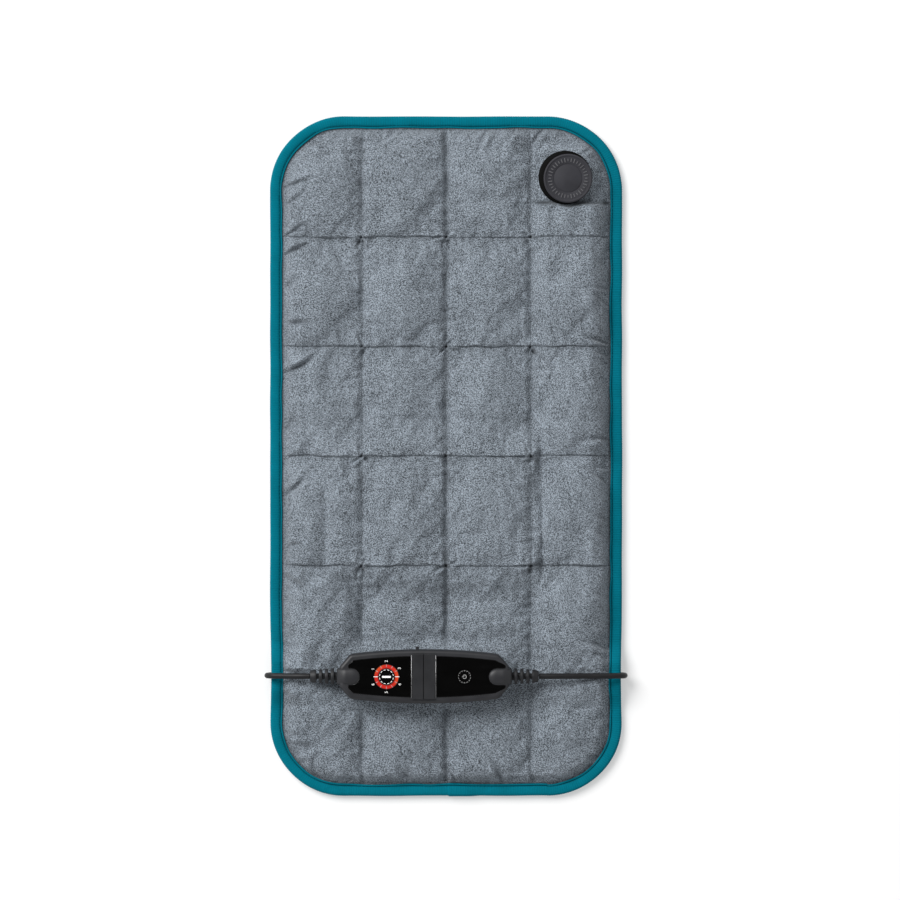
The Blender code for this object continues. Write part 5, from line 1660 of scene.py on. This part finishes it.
def make_key(settings):
    """A large round light to the upper left."""
    light = bpy.data.lights.new("key", "AREA")
    light.shape = "DISK"
    light.size = KEY_SIZE
    light.energy = settings.key_power
    lamp = stage_object("key", light)
    lamp.location = KEY_PLACE
    lamp.rotation_mode = "QUATERNION"
    lamp.rotation_quaternion = (-Vector(KEY_PLACE)).to_track_quat("-Z", "Y")


class HEATPAD_OT_stage(bpy.types.Operator):
    """Make the floor, the light and the camera"""

    bl_idname = "heatpad.stage"
    bl_label = "Stage"

    def execute(self, context):
        settings = context.scene.stage_looks
        context.scene.view_settings.view_transform = "Standard"
        context.scene.view_settings.look = "None"
        make_camera(settings)
        make_floor()
        make_sky(settings)
        make_key(settings)
        return {"FINISHED"}


class HEATPAD_OT_leads(bpy.types.Operator):
    """Lay the pad lead and the coiled mains lead"""

    bl_idname = "heatpad.leads"
    bl_label = "Leads"

    def execute(self, context):
        make_leads(context.scene.cord_looks)
        return {"FINISHED"}


class HEATPAD_OT_finishes(bpy.types.Operator):
    """Build the materials and give the carried-over parts theirs"""

    bl_idname = "heatpad.finishes"
    bl_label = "Finishes"

    def execute(self, context):
        make_looks()
        for look, nodes in NODE_LOOKS.items():
            for node in nodes:
                paint(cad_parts[node], look)
        return {"FINISHED"}


class HEATPAD_OT_covers(bpy.types.Operator):
    """Sew the quilted top cover, the back cover and their stitches"""

    bl_idname = "heatpad.covers"
    bl_label = "Covers"

    def execute(self, context):
        settings = context.scene.pad_looks
        top = make_top(settings)
        make_back()
        make_stitches(settings, top)
        return {"FINISHED"}


class HEATPAD_OT_binding(bpy.types.Operator):
    """Fold the woven binding over the pad's edge"""

    bl_idname = "heatpad.binding"
    bl_label = "Binding"

    def execute(self, context):
        make_binding(context.scene.pad_looks)
        make_binding_stitches(context.scene.pad_looks)
        return {"FINISHED"}


class HEATPAD_OT_coupling(bpy.types.Operator):
    """Make the round coupling"""

    bl_idname = "heatpad.coupling"
    bl_label = "Coupling"

    def execute(self, context):
        make_coupling()
        return {"FINISHED"}


class HEATPAD_OT_controller(bpy.types.Operator):
    """Make the controller's case, windows, marks and strain reliefs"""

    bl_idname = "heatpad.controller"
    bl_label = "Controller"

    def execute(self, context):
        make_case()
        make_nose("nose_left", -1)
        make_nose("nose_right", 1)
        make_band()
        make_marks(context.scene.controller_looks)
        make_relief("relief_left", -1, "left_strain_relief")
        make_relief("relief_right", 1, "right_strain_relief")
        return {"FINISHED"}


class HEATPAD_PT_panel(bpy.types.Panel):
    """Buttons and settings for the heating pad"""

    bl_idname = "HEATPAD_PT_panel"
    bl_label = "Heating Pad"
    bl_space_type = "VIEW_3D"
    bl_region_type = "UI"
    bl_category = "Heating Pad"

    def draw(self, context):
        for name, group in SETTINGS.items():
            box = self.layout.box()
            for key in group.__annotations__:
                box.prop(getattr(context.scene, name), key)
        for operator in OPERATORS:
            self.layout.operator(operator.bl_idname)


OPERATORS = (HEATPAD_OT_finishes, HEATPAD_OT_stage, HEATPAD_OT_leads, HEATPAD_OT_covers,
             HEATPAD_OT_binding, HEATPAD_OT_coupling, HEATPAD_OT_controller)
CLASSES = (*SETTINGS.values(), *OPERATORS, HEATPAD_PT_panel)


def register():
    for item in CLASSES:
        bpy.utils.register_class(item)
    for name, group in SETTINGS.items():
        setattr(bpy.types.Scene, name, bpy.props.PointerProperty(type=group))


def unregister():
    for name in SETTINGS:
        delattr(bpy.types.Scene, name)
    for item in reversed(CLASSES):
        bpy.utils.unregister_class(item)


def main():
    register()
    for operator in OPERATORS:
        family, name = operator.bl_idname.split(".")
        getattr(getattr(bpy.ops, family), name)()
    bpy.context.view_layer.update()


if __name__ == "__main__":
    main()
